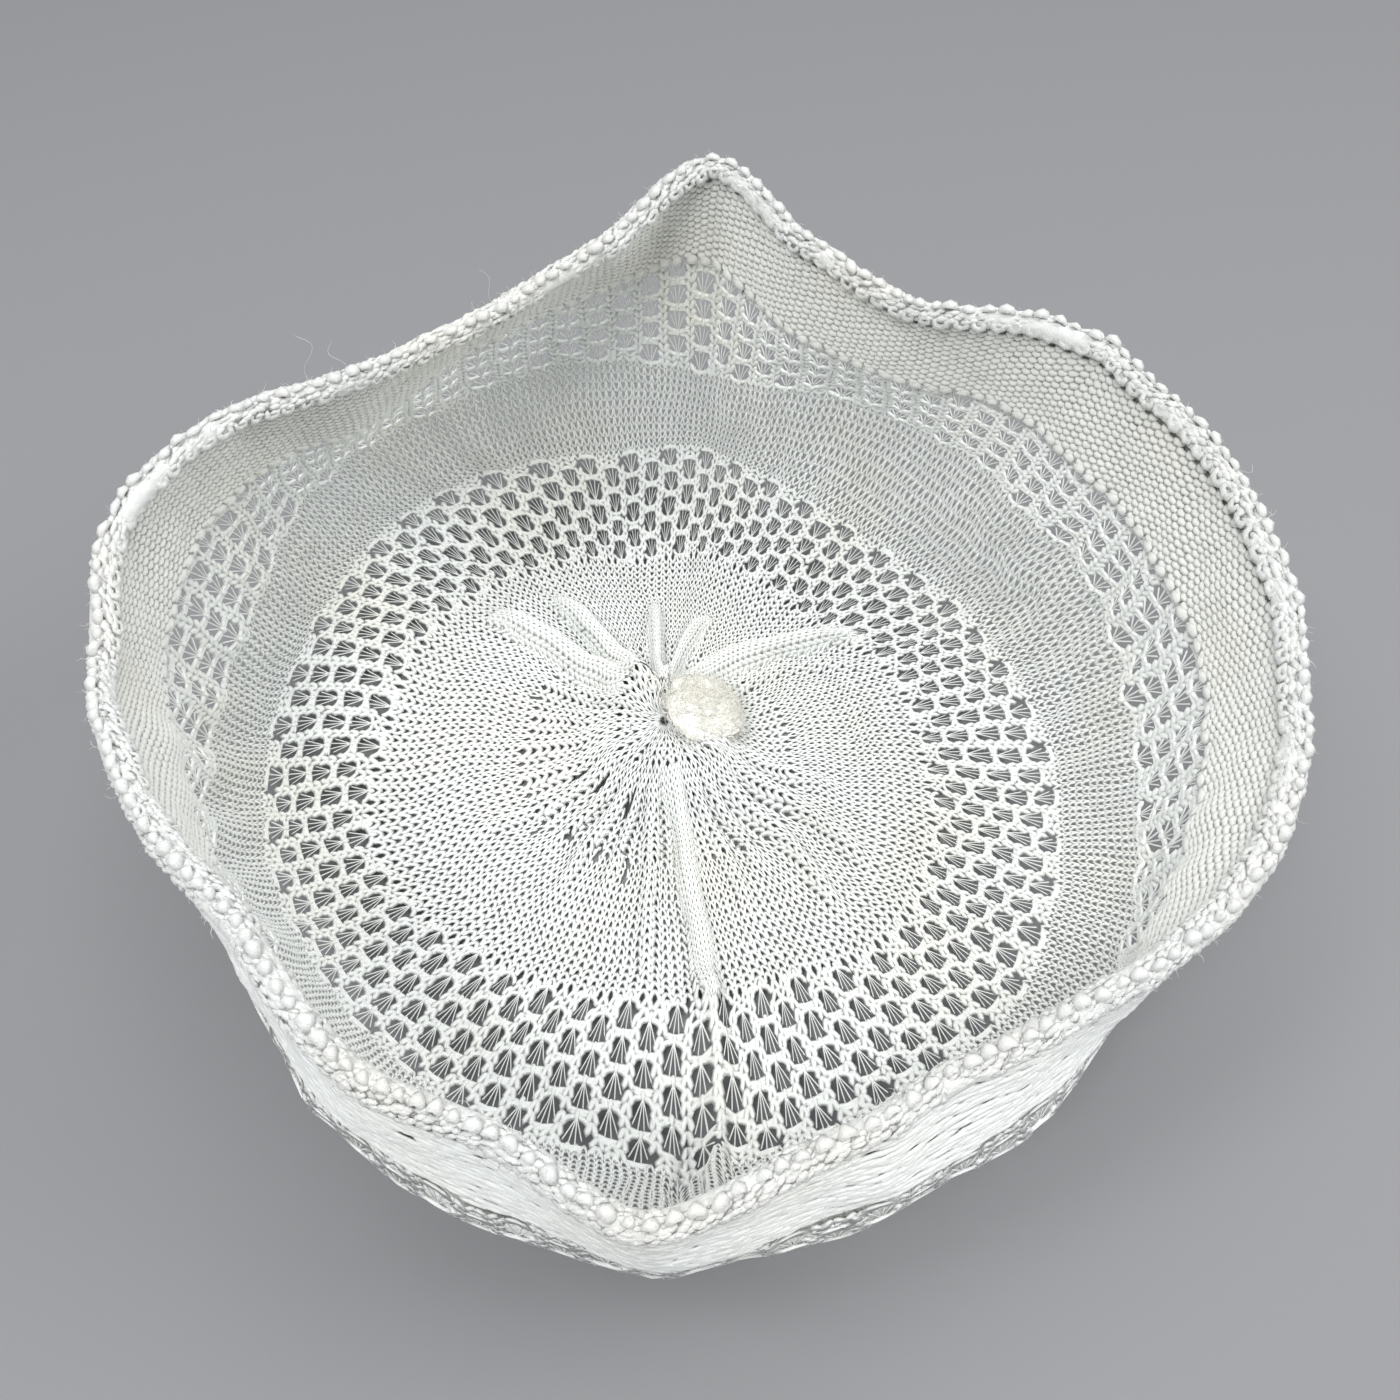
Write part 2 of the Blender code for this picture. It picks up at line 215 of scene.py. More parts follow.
def fold_free(angle, run):
    """The inner face of the cap without its folds, in millimetres from the gathered centre."""
    edge_radius = around(column("radius_crown_edge"), angle)
    level = np.zeros_like(edge_radius)
    knots = (0.0, HUMP_FOOT, FLAT_FROM, FLAT_TO, CROWN_EDGE, LACE_FOOT, PLAIN_TOP, FACING_EDGE, RIM)
    radii = [level] + [edge_radius * run_here / CROWN_EDGE for run_here in (HUMP_FOOT, FLAT_FROM, FLAT_TO)]
    heights = [level + GATHER_HEIGHT, level + HUMP_FOOT_HEIGHT, level + FLAT_HEIGHT, level + FLAT_HEIGHT]
    radii.append(edge_radius)
    heights.append(level + CROWN_EDGE_HEIGHT)
    for ring in ("lace_foot", "plain_top", "facing_edge", "rim"):
        radii.append(around(column("radius_" + ring), angle))
        heights.append(around(column("height_" + ring), angle))
    radius = along(knots, radii, run)
    height = along(knots, heights, run)
    ring = np.interp(run, (CROWN_EDGE, LACE_FOOT, PLAIN_TOP, FACING_EDGE, RIM), LEAN_SHARES)
    lean = around(column("lean_crown"), angle) * (1 - ring) + around(column("lean_rim"), angle) * ring
    for at, half_width, out, up, start in CORNERS:
        off = np.abs(degrees_past(angle, at)) / half_width
        sharp = np.clip(1 - off, 0, 1) ** 2 * np.clip((run - start) / (RIM - start), 0, CORNER_PAST_RIM)
        radius = radius + out * sharp
        height = height + up * sharp
    turn = np.radians(angle + lean)
    return np.stack([radius * np.sin(turn), radius * np.cos(turn), height], axis=-1)


def facing_in(angle, run):
    """Unit normal of the fold-free cloth, towards the hollow."""
    across = fold_free(angle + NORMAL_STEP, run) - fold_free(angle - NORMAL_STEP, run)
    outward = fold_free(angle, run + NORMAL_STEP) - fold_free(angle, np.maximum(run - NORMAL_STEP, 0.0))
    normal = np.cross(across, outward)
    length = np.linalg.norm(normal, axis=-1, keepdims=True)
    upright = np.zeros_like(normal)
    upright[..., 2] = 1.0
    return np.where(length > 1e-9, normal / np.maximum(length, 1e-9), upright)


def fold_height(angle, run):
    """How far the folds lift the cloth, in millimetres."""
    total = np.zeros_like(run)
    radius = np.linalg.norm(fold_free(angle, run)[..., :2], axis=-1)
    for from_angle, to_angle, from_run, to_run, height, half_width in FOLDS + [SEAM_DIP]:
        share = np.clip((run - from_run) / (to_run - from_run), 0, 1)
        middle = from_angle + (to_angle - from_angle) * share
        off = degrees_past(angle, middle) * np.radians(1.0) * radius
        begun = smooth_step(run, from_run - FOLD_RISE, from_run + FOLD_RISE)
        ends = begun * (1 - smooth_step(run, to_run - FOLD_FADE, to_run))
        total = total + height * np.exp(-np.abs(off / half_width) ** FOLD_SQUARENESS) * ends
    for middle, spread, middle_run, reach, depth, waves in RIPPLES:
        aside = degrees_past(angle, middle) / spread
        window = np.exp(-(aside**2) - ((run - middle_run) / reach) ** 2)
        wave = np.sin(np.radians(angle) * waves + RIPPLE_SLANT * (run - middle_run))
        total = total + depth * window * wave
    lying = 1 - smooth_step(run, LACE_FOOT - LYING_FADE, LACE_FOOT)
    return np.where(total < LYING_UNDER, total + (LYING_UNDER - total) * lying, total)


# how many round the gather, depth in millimetres, run where deepest, run where they have faded
PLEATS = [
    (31, 0.30, 5.0, 18.0),
    (41, 0.12, 20.0, 44.0),
]
# The pleats' lines wander to both sides on their way out
WANDER_REACH, WANDER_ROUND, WANDER_ALONG, WANDER_SHARE = 0.35, 5.0, 0.09, 3.0


def pleat_height(angle, run):
    """Small pleats that run out from the gather."""
    total = np.zeros_like(run)
    for count, depth, deepest, faded in PLEATS:
        wander = WANDER_REACH * np.sin(np.radians(angle) * WANDER_ROUND + run * WANDER_ALONG)
        swing = np.sin(np.radians(angle) * count + WANDER_SHARE * wander)
        begun = smooth_step(run, 0.0, deepest)
        total = total + depth * swing * begun * (1 - smooth_step(run, deepest, faded))
    return total


def cloth_point(angle, run, inward):
    """A place on the cloth and the direction in towards the hollow there, in metres."""
    shift = (inward + fold_height(angle, run) + pleat_height(angle, run))[..., None]
    normal = facing_in(angle, run)
    points = fold_free(angle, run) + normal * shift
    points -= np.array([BOX_MIDDLE[0], BOX_MIDDLE[1], -BODY_WALL])
    return points * MM, normal


# angle, crown_edge, lower_holes_end, upper_holes_start: where the rings of holes really begin and end, as
# runs of the cloth in millimetres, because the slack cloth has slid
BORDERS = [
    (0, 48.0, 69.5, 84.5),
    (30, 50.0, 67.0, 91.0),
    (60, 46.5, 66.5, 94.0),
    (90, 45.5, 67.5, 84.5),
    (120, 50.0, 72.0, 86.0),
    (150, 50.5, 74.0, 88.0),
    (180, 48.5, 74.5, 89.0),
    (210, 49.0, 73.5, 88.0),
    (240, 48.0, 73.5, 86.0),
    (270, 46.0, 69.0, 83.5),
    (300, 45.0, 67.5, 88.0),
    (330, 46.5, 69.5, 90.5),
]
BORDER_STEP = 30.0
# How far the wales follow the cloth's true length, and how finely a sheet of cloth is divided
LENGTH_SHARE = 0.3
FINE_ANGLES = 720
SHEET_COLUMNS = 368
SHEET_FROM = 0.05
SHEET_TO = 131.0
SHEET_ROWS = 132


def flat_sheet(name, points, normals):
    """A grid of cloth with its chart as UV map and its inward direction as an attribute."""
    rows, columns = points.shape[:2]
    number = np.arange(rows * columns).reshape(rows, columns)
    corners_of = [number[:-1, :-1], number[:-1, 1:], number[1:, 1:], number[1:, :-1]]
    quads = np.stack(corners_of, axis=-1).reshape(-1, 4)
    mesh = bpy.data.meshes.new(name)
    mesh.from_pydata(points.reshape(-1, 3).tolist(), [], quads.tolist())
    across, up = np.meshgrid(np.linspace(0, 1, columns), np.linspace(0, 1, rows))
    chart = np.stack([across, up], axis=-1).reshape(-1, 2)
    corners = np.empty(len(mesh.loops), dtype=np.int32)
    mesh.loops.foreach_get("vertex_index", corners)
    uv = mesh.uv_layers.new(name="chart")
    uv.data.foreach_set("uv", chart[corners].ravel())
    inward = mesh.attributes.new("inward", "FLOAT_VECTOR", "POINT")
    inward.data.foreach_set("vector", normals.reshape(-1, 3).ravel())
    return mesh


def slid(angle, run):
    """The run where a course really lies, from the run that it would have in evenly spread cloth."""
    table = np.array(BORDERS)[:, 1:]
    edges = [around(table[:, k], angle * SECTION_STEP / BORDER_STEP) for k in range(table.shape[1])]
    even = [0.0, CROWN_EDGE, LACE_FOOT, PLAIN_TOP, FACING_EDGE]
    real = [np.zeros_like(angle), *edges, np.full_like(angle, FACING_EDGE)]
    result = run
    for k in range(len(even) - 1):
        share = (run - even[k]) / (even[k + 1] - even[k])
        here = (run >= even[k]) & (run < even[k + 1])
        result = np.where(here, real[k] + (real[k + 1] - real[k]) * share, result)
    return result


def wale_angles(run):
    """The wales' angles along one course, spaced by the cloth's length, so that folds take more wales."""
    fine = np.linspace(0, 360, FINE_ANGLES + 1)
    points = cloth_point(fine, slid(fine, np.full_like(fine, run)), np.zeros_like(fine))[0]
    length = np.append(0.0, np.cumsum(np.linalg.norm(np.diff(points, axis=0), axis=1)))
    even = np.linspace(0, 1, SHEET_COLUMNS + 1)
    by_length = np.interp(even, length / length[-1], fine)
    return LENGTH_SHARE * by_length + (1 - LENGTH_SHARE) * 360 * even


def knitted_sheet(name, inward_at):
    """The whole cloth from the gather to past the rim; inward_at gives its layer at each run."""
    runs = np.linspace(SHEET_FROM, SHEET_TO, SHEET_ROWS)
    angle = np.array([wale_angles(run) for run in runs])
    run = slid(angle, np.repeat(runs[:, None], SHEET_COLUMNS + 1, axis=1))
    points, normals = cloth_point(angle, run, inward_at(run))
    return flat_sheet(name, points, normals)


body_sheet = knitted_sheet(
    "body_sheet", lambda run: -BODY_WALL / 2 - BODY_SHIFT * smooth_step(run, STEP_START, STEP_END)
)


def chart_row(run):
    """Where a run of the cloth lies on the sheet's chart, from 0 to 1."""
    return (run - SHEET_FROM) / (SHEET_TO - SHEET_FROM)


def yarn(path, wide, deep, side=None, sides=3):
    """A closed length of yarn along a path in millimetres; half sizes wide and deep at each inner point."""
    path = np.array(path, float)
    points = [path[0]]
    for k in range(1, len(path) - 1):
        tangent = path[k + 1] - path[k - 1]
        tangent /= np.linalg.norm(tangent)
        if side is None:
            sideways = np.array([tangent[1], -tangent[0], 0.0])
        else:
            sideways = np.array(side, float)
        sideways /= np.linalg.norm(sideways)
        upward = np.cross(sideways, tangent)
        for turn in np.pi / 2 + np.arange(sides) * 2 * np.pi / sides:
            outwards = wide[k - 1] * np.cos(turn) * sideways + deep[k - 1] * np.sin(turn) * upward
            points.append(path[k] + outwards)
    points.append(path[-1])
    rings = len(path) - 2
    last = len(points) - 1
    faces = []
    for k in range(sides):
        after = (k + 1) % sides
        faces.append((0, 1 + k, 1 + after))
        faces.append((last, last - sides + after, last - sides + k))
        for ring in range(rings - 1):
            low = 1 + ring * sides
            high = low + sides
            faces.append((low + k, high + k, high + after, low + after))
    return np.array(points), faces


def mirrored(path):
    """The same path on the other side of the wale."""
    return [(-x, y, z) for x, y, z in path]


def stitch_mesh(name, lengths, cell):
    """Lengths of yarn joined as one small mesh, in cells across and along and metres through."""
    points, faces, start = [], [], 0
    for some_points, some_faces in lengths:
        points.append(some_points / np.array([cell[0], cell[1], 1 / MM]))
        faces += [tuple(start + k for k in face) for face in some_faces]
        start += len(some_points)
    mesh = bpy.data.meshes.new(name)
    mesh.from_pydata(np.vstack(points).tolist(), [], faces)
    made = bpy.data.objects.new(name, mesh)
    bpy.context.scene.collection.objects.link(made)
    return made


def new_tree(name, inputs):
    """An empty tree of geometry nodes with its named inputs and one geometry output."""
    tree = bpy.data.node_groups.new(name, "GeometryNodeTree")
    tree.interface.new_socket(name="Cloth", in_out="INPUT", socket_type="NodeSocketGeometry")
    for label, kind in inputs:
        tree.interface.new_socket(name=label, in_out="INPUT", socket_type="NodeSocket" + kind)
    tree.interface.new_socket(name="Knitting", in_out="OUTPUT", socket_type="NodeSocketGeometry")
    return tree


def node(tree, kind, inputs=(), **settings):
    """One node with its settings; inputs are sockets to join or plain values, in order."""
    made = tree.nodes.new(kind)
    for key, value in settings.items():
        setattr(made, key, value)
    for place, value in dict(inputs).items() if isinstance(inputs, dict) else enumerate(inputs):
        if value is None:
            continue
        if isinstance(value, bpy.types.NodeSocket):
            tree.links.new(value, made.inputs[place])
        else:
            made.inputs[place].default_value = value
    return made


def sum_of(tree, kind, *values):
    """A sum, product or other plain arithmetic on numbers."""
    return node(tree, "ShaderNodeMath", values, operation=kind).outputs[0]


def vector_of(tree, kind, *values):
    """Plain arithmetic on vectors."""
    return node(tree, "ShaderNodeVectorMath", values, operation=kind).outputs[0]


# What a chart of stitches is given: the stitch, its wales and courses, where on the sheet's chart they lie,
# how they are shifted and staggered, how uneven they are in place and size, and the sag of their yarn
STITCH_INPUTS = [
    ("Stitch", "Object"), ("Wales", "Int"), ("Courses", "Int"), ("First", "Float"), ("Last", "Float"),
    ("Shift", "Float"), ("Stagger", "Float"), ("Uneven", "Float"), ("Vary", "Float"), ("Slack", "Float"),
    ("Sway", "Float"), ("Closed", "Float"), ("Seed", "Int"), ("Cotton", "Material"),
]
# How near to the chart's edge a stitch may lie, and how close together the sags and sways of the yarn are
EDGE_OF_CHART = 0.0005
SAG_SCALE, SWAY_SCALE, SWAY_RISE = 420.0, 85.0, 0.25
GROWTH_SEED = 50.0


def stitches_on_cloth():
    """Copies of a stitch in wales and courses on the flat chart, bent onto the cloth."""
    tree = new_tree("stitches_on_cloth", STITCH_INPUTS)
    given = tree.nodes.new("NodeGroupInput").outputs
    number = tree.nodes.new("GeometryNodeInputIndex").outputs[0]
    count = sum_of(tree, "MULTIPLY", given["Wales"], given["Courses"])
    wale = sum_of(tree, "FLOORED_MODULO", number, given["Wales"])
    course = sum_of(tree, "FLOOR", sum_of(tree, "DIVIDE", sum_of(tree, "ADD", number, 0.5), given["Wales"]))
    low = vector_of(tree, "SCALE", (-1.0, -1.0, 0.0))
    high = vector_of(tree, "SCALE", (1.0, 1.0, 0.0))
    tree.links.new(given["Uneven"], low.node.inputs["Scale"])
    tree.links.new(given["Uneven"], high.node.inputs["Scale"])
    shaken = node(tree, "FunctionNodeRandomValue", data_type="FLOAT_VECTOR")
    tree.links.new(low, shaken.inputs[0])
    tree.links.new(high, shaken.inputs[1])
    tree.links.new(given["Seed"], shaken.inputs["Seed"])
    shaken_by = node(tree, "ShaderNodeSeparateXYZ", [shaken.outputs[0]]).outputs
    odd = sum_of(tree, "FLOORED_MODULO", wale, 2.0)
    shifted = sum_of(tree, "ADD", wale, given["Shift"])
    in_wales = sum_of(tree, "ADD", shifted, sum_of(tree, "ADD", shaken_by[0], 0.5))
    in_courses = sum_of(tree, "ADD", course, sum_of(tree, "ADD", shaken_by[1], 0.5))
    in_courses = sum_of(tree, "MULTIPLY_ADD", odd, given["Stagger"], in_courses)
    span = sum_of(tree, "SUBTRACT", given["Last"], given["First"])
    wale_width = sum_of(tree, "DIVIDE", 1.0, given["Wales"])
    course_height = sum_of(tree, "DIVIDE", span, given["Courses"])
    chart_place = node(tree, "ShaderNodeCombineXYZ", [
        sum_of(tree, "MULTIPLY", in_wales, wale_width),
        sum_of(tree, "MULTIPLY_ADD", in_courses, course_height, given["First"]),
        0.0,
    ]).outputs[0]
    points = node(tree, "GeometryNodePoints", [count, chart_place])
    stitch = node(tree, "GeometryNodeObjectInfo", [given["Stitch"]])
    smallest = sum_of(tree, "SUBTRACT", 1.0, given["Vary"])
    grown = node(tree, "FunctionNodeRandomValue", data_type="FLOAT")
    grown_ends = [socket for socket in grown.inputs if socket.type == "VALUE" and socket.enabled]
    tree.links.new(smallest, grown_ends[0])
    tree.links.new(sum_of(tree, "ADD", 1.0, given["Vary"]), grown_ends[1])
    tree.links.new(sum_of(tree, "ADD", given["Seed"], GROWTH_SEED), grown.inputs["Seed"])
    grown_by = [socket for socket in grown.outputs if socket.enabled][0]
    size = node(tree, "ShaderNodeCombineXYZ", [
        sum_of(tree, "MULTIPLY", wale_width, grown_by),
        sum_of(tree, "MULTIPLY", course_height, grown_by),
        grown_by,
    ]).outputs[0]
    copies = node(tree, "GeometryNodeInstanceOnPoints", {
        "Points": points.outputs[0], "Instance": stitch.outputs["Geometry"], "Scale": size,
    })
    flat = node(tree, "GeometryNodeRealizeInstances", [copies.outputs[0]])
    position = tree.nodes.new("GeometryNodeInputPosition").outputs[0]
    place = node(tree, "ShaderNodeSeparateXYZ", [position]).outputs
    rounds = sum_of(tree, "MULTIPLY", sum_of(tree, "FLOOR", place[0]), given["Closed"])
    on_chart = node(tree, "ShaderNodeCombineXYZ", [
        node(tree, "ShaderNodeClamp", [sum_of(tree, "SUBTRACT", place[0], rounds), 0.0, 1.0]).outputs[0],
        node(tree, "ShaderNodeClamp", [place[1], EDGE_OF_CHART, 1 - EDGE_OF_CHART]).outputs[0],
        0.0,
    ]).outputs[0]
    chart = node(tree, "GeometryNodeInputNamedAttribute", data_type="FLOAT_VECTOR")
    chart.inputs[0].default_value = "chart"
    inward = node(tree, "GeometryNodeInputNamedAttribute", data_type="FLOAT_VECTOR")
    inward.inputs[0].default_value = "inward"
    found = []
    for value in (tree.nodes.new("GeometryNodeInputPosition").outputs[0], inward.outputs[0]):
        sample = node(tree, "GeometryNodeSampleUVSurface", data_type="FLOAT_VECTOR")
        tree.links.new(given["Cloth"], sample.inputs[0])
        tree.links.new(value, sample.inputs[1])
        tree.links.new(chart.outputs[0], sample.inputs[2])
        tree.links.new(on_chart, sample.inputs[3])
        found.append(sample.outputs[0])
    raised = vector_of(tree, "SCALE", found[1])
    tree.links.new(place[2], raised.node.inputs["Scale"])
    even = (0.5, 0.5, 0.5)
    wave = node(tree, "ShaderNodeTexNoise", {"Vector": found[0], "Scale": SAG_SCALE, "Detail": 2.0})
    swing = vector_of(tree, "SCALE", vector_of(tree, "SUBTRACT", wave.outputs["Color"], even))
    tree.links.new(given["Slack"], swing.node.inputs["Scale"])
    drift = node(tree, "ShaderNodeTexNoise", {"Vector": found[0], "Scale": SWAY_SCALE, "Detail": 1.0})
    sway = vector_of(tree, "SUBTRACT", drift.outputs["Color"], even)
    sway = vector_of(tree, "SCALE", vector_of(tree, "MULTIPLY", sway, (1.0, 1.0, SWAY_RISE)))
    tree.links.new(given["Sway"], sway.node.inputs["Scale"])
    lifted = vector_of(tree, "ADD", found[0], raised)
    bent_place = vector_of(tree, "ADD", lifted, vector_of(tree, "ADD", swing, sway))
    bent = node(tree, "GeometryNodeSetPosition", {"Geometry": flat.outputs[0], "Position": bent_place})
    smooth = node(tree, "GeometryNodeSetShadeSmooth", {"Geometry": bent.outputs[0]})
    real = node(tree, "GeometryNodeRealizeInstances", [smooth.outputs[0]])
    dyed = node(tree, "GeometryNodeSetMaterial", {"Geometry": real.outputs[0], "Material": given["Cotton"]})
    node(tree, "NodeGroupOutput", [dyed.outputs[0]])
    return tree


stitch_tree = stitches_on_cloth()
# What a chart of stitches is given where its own row says nothing else
USUAL_CHART = {
    "Shift": 0.0, "Stagger": 0.0, "Closed": 1.0,
    "Uneven": 0.05, "Vary": 0.06, "Slack": 0.0003, "Sway": 0.0022,
}


def work(name, sheet, parts, cotton, slits=()):
    """Work each chart of a piece on the sheet and join them as one plain mesh, with its slits left open."""
    meshes = []
    for number, chart in enumerate(parts):
        holder = bpy.data.objects.new(name + "_chart", sheet)
        bpy.context.scene.collection.objects.link(holder)
        modifier = holder.modifiers.new("knit", "NODES")
        modifier.node_group = stitch_tree
        values = {**USUAL_CHART, "Seed": number + 1, "Cotton": cotton, **chart}
        values["First"] = float(values["First"])
        values["Last"] = float(values["Last"])
        for item in stitch_tree.interface.items_tree:
            if item.in_out == "INPUT" and item.name in values:
                modifier[item.identifier] = values[item.name]
        bpy.context.view_layer.update()
        evaluated = holder.evaluated_get(bpy.context.evaluated_depsgraph_get())
        meshes.append(bpy.data.meshes.new_from_object(evaluated))
        holder.modifiers.remove(modifier)
        bpy.data.objects.remove(holder)
    return joined(name, meshes, cotton, slits)


def kept_points(points, slits):
    """Which vertices stay when the legs of yarn that lie along each slit are dropped."""
    legs = points.reshape(-1, LEG_POINTS, 3)
    middles = legs.mean(axis=1)
    keep = np.ones(len(legs), bool)
    for angle, from_run, to_run in slits:
        run = np.linspace(from_run, to_run, SLIT_STEPS)
        line = cloth_point(np.full_like(run, angle), run, np.full_like(run, -BODY_WALL / 2))[0]
        away = np.linalg.norm(middles[:, None] - line[None], axis=2).min(axis=1)
        keep &= away > SLIT_HALF_WIDTH * MM
    return np.repeat(keep, LEG_POINTS)


def joined(name, meshes, cotton, slits=()):
    """Several meshes as one piece at the origin."""
    points, faces, start = [], [], 0
    for mesh in meshes:
        some = np.empty(len(mesh.vertices) * 3)
        mesh.vertices.foreach_get("co", some)
        some = some.reshape(-1, 3)
        keep = kept_points(some, slits) if slits else np.ones(len(some), bool)
        number = start + np.cumsum(keep) - 1
        points.append(some[keep])
        stay = [polygon for polygon in mesh.polygons if keep[polygon.vertices[0]]]
        faces += [tuple(number[list(polygon.vertices)]) for polygon in stay]
        start += int(keep.sum())
    whole = bpy.data.meshes.new(name)
    whole.from_pydata(np.vstack(points).tolist(), [], faces)
    whole.shade_smooth()
    whole.materials.append(cotton)
    made = bpy.data.objects.new(name, whole)
    bpy.context.scene.collection.objects.link(made)
    return made


# scale, detail and roughness of the noise that each part of the yarn's look is made from
FIBRE_GRAIN = {"Scale": 5200.0, "Detail": 3.0, "Roughness": 0.65}
TUFT_GRAIN = {"Scale": 900.0, "Detail": 4.0, "Roughness": 0.6}
WEAR_PATCHES = {"Scale": 38.0, "Detail": 2.0}
FIBRE_SHARE, TUFT_SHARE = 0.55, 0.45
# The parts of each noise that the look runs over, and the roughness from the smoothest to the roughest place
GRAIN_RANGE, TUFT_RANGE, WORN_RANGE = (0.32, 0.68), (0.3, 0.7), (0.45, 0.75)
ROUGHNESS_RANGE = (0.82, 0.97)
RELIEF_STRENGTH = 0.55
SHINE, FUZZ_ROUGHNESS = 0.25, 0.55
WORN_TINT = (1.0, 0.985, 0.94, 1.0)


def white_cotton(name, light, shade, fuzz, relief=0.18):
    """Matt cotton yarn: fine fibres in colour and relief, and wide faint patches from wear."""
    material = bpy.data.materials.new(name)
    material.use_nodes = True
    tree = material.node_tree
    shader = tree.nodes["Principled BSDF"]
    place = node(tree, "ShaderNodeTexCoord").outputs["Object"]
    fibres = node(tree, "ShaderNodeTexNoise", {"Vector": place, **FIBRE_GRAIN})
    tufts = node(tree, "ShaderNodeTexNoise", {"Vector": place, **TUFT_GRAIN})
    patches = node(tree, "ShaderNodeTexNoise", {"Vector": place, **WEAR_PATCHES})
    fine = sum_of(tree, "MULTIPLY", fibres.outputs[0], FIBRE_SHARE)
    grain = sum_of(tree, "ADD", fine, sum_of(tree, "MULTIPLY", tufts.outputs[0], TUFT_SHARE))
    spread = node(tree, "ShaderNodeMapRange", [grain, *GRAIN_RANGE, 0.0, 1.0]).outputs[0]
    mix = node(tree, "ShaderNodeMix", data_type="RGBA")
    tree.links.new(spread, mix.inputs[0])
    mix.inputs[6].default_value = (*shade, 1.0)
    mix.inputs[7].default_value = (*light, 1.0)
    warm = node(tree, "ShaderNodeMix", data_type="RGBA", blend_type="MULTIPLY")
    worn = node(tree, "ShaderNodeMapRange", [patches.outputs[0], *WORN_RANGE, 0.0, 1.0]).outputs[0]
    tree.links.new(worn, warm.inputs[0])
    tree.links.new(mix.outputs[2], warm.inputs[6])
    warm.inputs[7].default_value = WORN_TINT
    tree.links.new(warm.outputs[2], shader.inputs["Base Color"])
    raised = {"Strength": RELIEF_STRENGTH, "Distance": relief * MM, "Height": grain}
    tree.links.new(node(tree, "ShaderNodeBump", raised).outputs[0], shader.inputs["Normal"])
    rough = node(tree, "ShaderNodeMapRange", [tufts.outputs[0], *TUFT_RANGE, *ROUGHNESS_RANGE]).outputs[0]
    tree.links.new(rough, shader.inputs["Roughness"])
    shader.inputs["Specular IOR Level"].default_value = SHINE
    shader.inputs["Sheen Weight"].default_value = fuzz
    shader.inputs["Sheen Roughness"].default_value = FUZZ_ROUGHNESS
    return material


knit_cotton = white_cotton("knit_cotton", light=(0.92, 0.935, 0.92), shade=(0.78, 0.80, 0.785), fuzz=0.25)
CROWN_CELL = (1.4, 1.5)
# angle, from_run, to_run: short slits where the drawn-up cloth gapes beside its folds
SLITS = [
    (238, 24.2, 26.8),
    (235, 12.5, 15.5),
    (227, 21.5, 24.5),
    (213, 23.0, 26.0),
    (200, 24.0, 28.0),
    (174, 11.5, 13.5),
    (180, 18.5, 20.5),
    (210, 13.5, 17.5),
    (284, 23.0, 24.2),
    (88, 22.6, 24.4),
    (248, 13.5, 16.5),
]
SLIT_HALF_WIDTH = 0.36
SLIT_STEPS = 9
LEG_POINTS = 11


def plain_stitch(name, cell, line, half_wide, deep):
    """One stitch: two slanting legs along a line in cells, flat enough to close all but its small hole."""
    wide, high = cell
    path = [(x * wide, y * high, z) for x, y, z in line]
    widths = [share * wide for share in half_wide]
    depths = [0.9 * deep, 1.1 * deep, deep]
    return stitch_mesh(name, [yarn(path, widths, depths), yarn(mirrored(path), widths, depths)], cell)


# One leg of a stitch, in cells across and along and millimetres through
CLOSE_LINE = [
    (0.02, -0.80, -0.07),
    (0.13, -0.42, 0.0),
    (0.34, 0.0, 0.05),
    (0.39, 0.40, 0.03),
    (0.38, 0.84, -0.08),
]
# Runs where the knitting starts beside the gather and where its wales are doubled
MIDDLE_FROM, FIRST_STEP, SECOND_STEP = 1.2, 8, 24
crown_stitch = plain_stitch("crown_stitch", CROWN_CELL, CLOSE_LINE, half_wide=(0.288, 0.25, 0.25), deep=0.13)
crown_middle = work("crown_middle", body_sheet, [
    {"Stitch": crown_stitch, "Wales": 46, "Courses": 5, "First": chart_row(MIDDLE_FROM),
     "Last": chart_row(FIRST_STEP), "Slack": 0.0001},
    {"Stitch": crown_stitch, "Wales": 92, "Courses": 11, "First": chart_row(FIRST_STEP),
     "Last": chart_row(SECOND_STEP), "Slack": 0.0001},
], knit_cotton, SLITS)
crown = work("crown_outer", body_sheet, [
    {"Stitch": crown_stitch, "Wales": 184, "Courses": 16, "First": chart_row(SECOND_STEP),
     "Last": chart_row(CROWN_EDGE), "Slack": 0.0001},
], knit_cotton, SLITS)


def fold_strip(fold, wide):
    """A strip of cloth over one broad fold's crest, charted along it, with its edges and ends sunk in."""
    from_angle, to_angle, from_run, to_run, _, half_width = fold
    run = np.linspace(max(from_run, STRIP_FROM), to_run - STRIP_SHORT, STRIP_ROWS)
    share = (run - from_run) / (to_run - from_run)
    middle = from_angle + (to_angle - from_angle) * share
    radius = np.linalg.norm(fold_free(middle, run)[..., :2], axis=-1)
    ending = smooth_step(run, to_run - STRIP_FULL, to_run - STRIP_SHORT)
    reach = wide * half_width * smooth_step(run, 0.0, STRIP_FULL) * (1 - STRIP_TAPER * ending)
    across = np.linspace(-1, 1, STRIP_COLUMNS)
    angle = middle[:, None] + np.degrees(reach / radius)[:, None] * across
    over = STRIP_OVER * (1 - STRIP_EDGE * across**2) - STRIP_SINK * ending[:, None]
    runs = np.repeat(run[:, None], STRIP_COLUMNS, axis=1)
    points, normals = cloth_point(angle, runs, over - BODY_WALL / 2)
    return flat_sheet("fold_strip", points, normals)


FOLD_LINE = [
    (0.02, -0.80, -0.08),
    (0.13, -0.42, 0.0),
    (0.31, 0.0, 0.05),
    (0.37, 0.40, 0.03),
    (0.36, 0.86, -0.10),
]
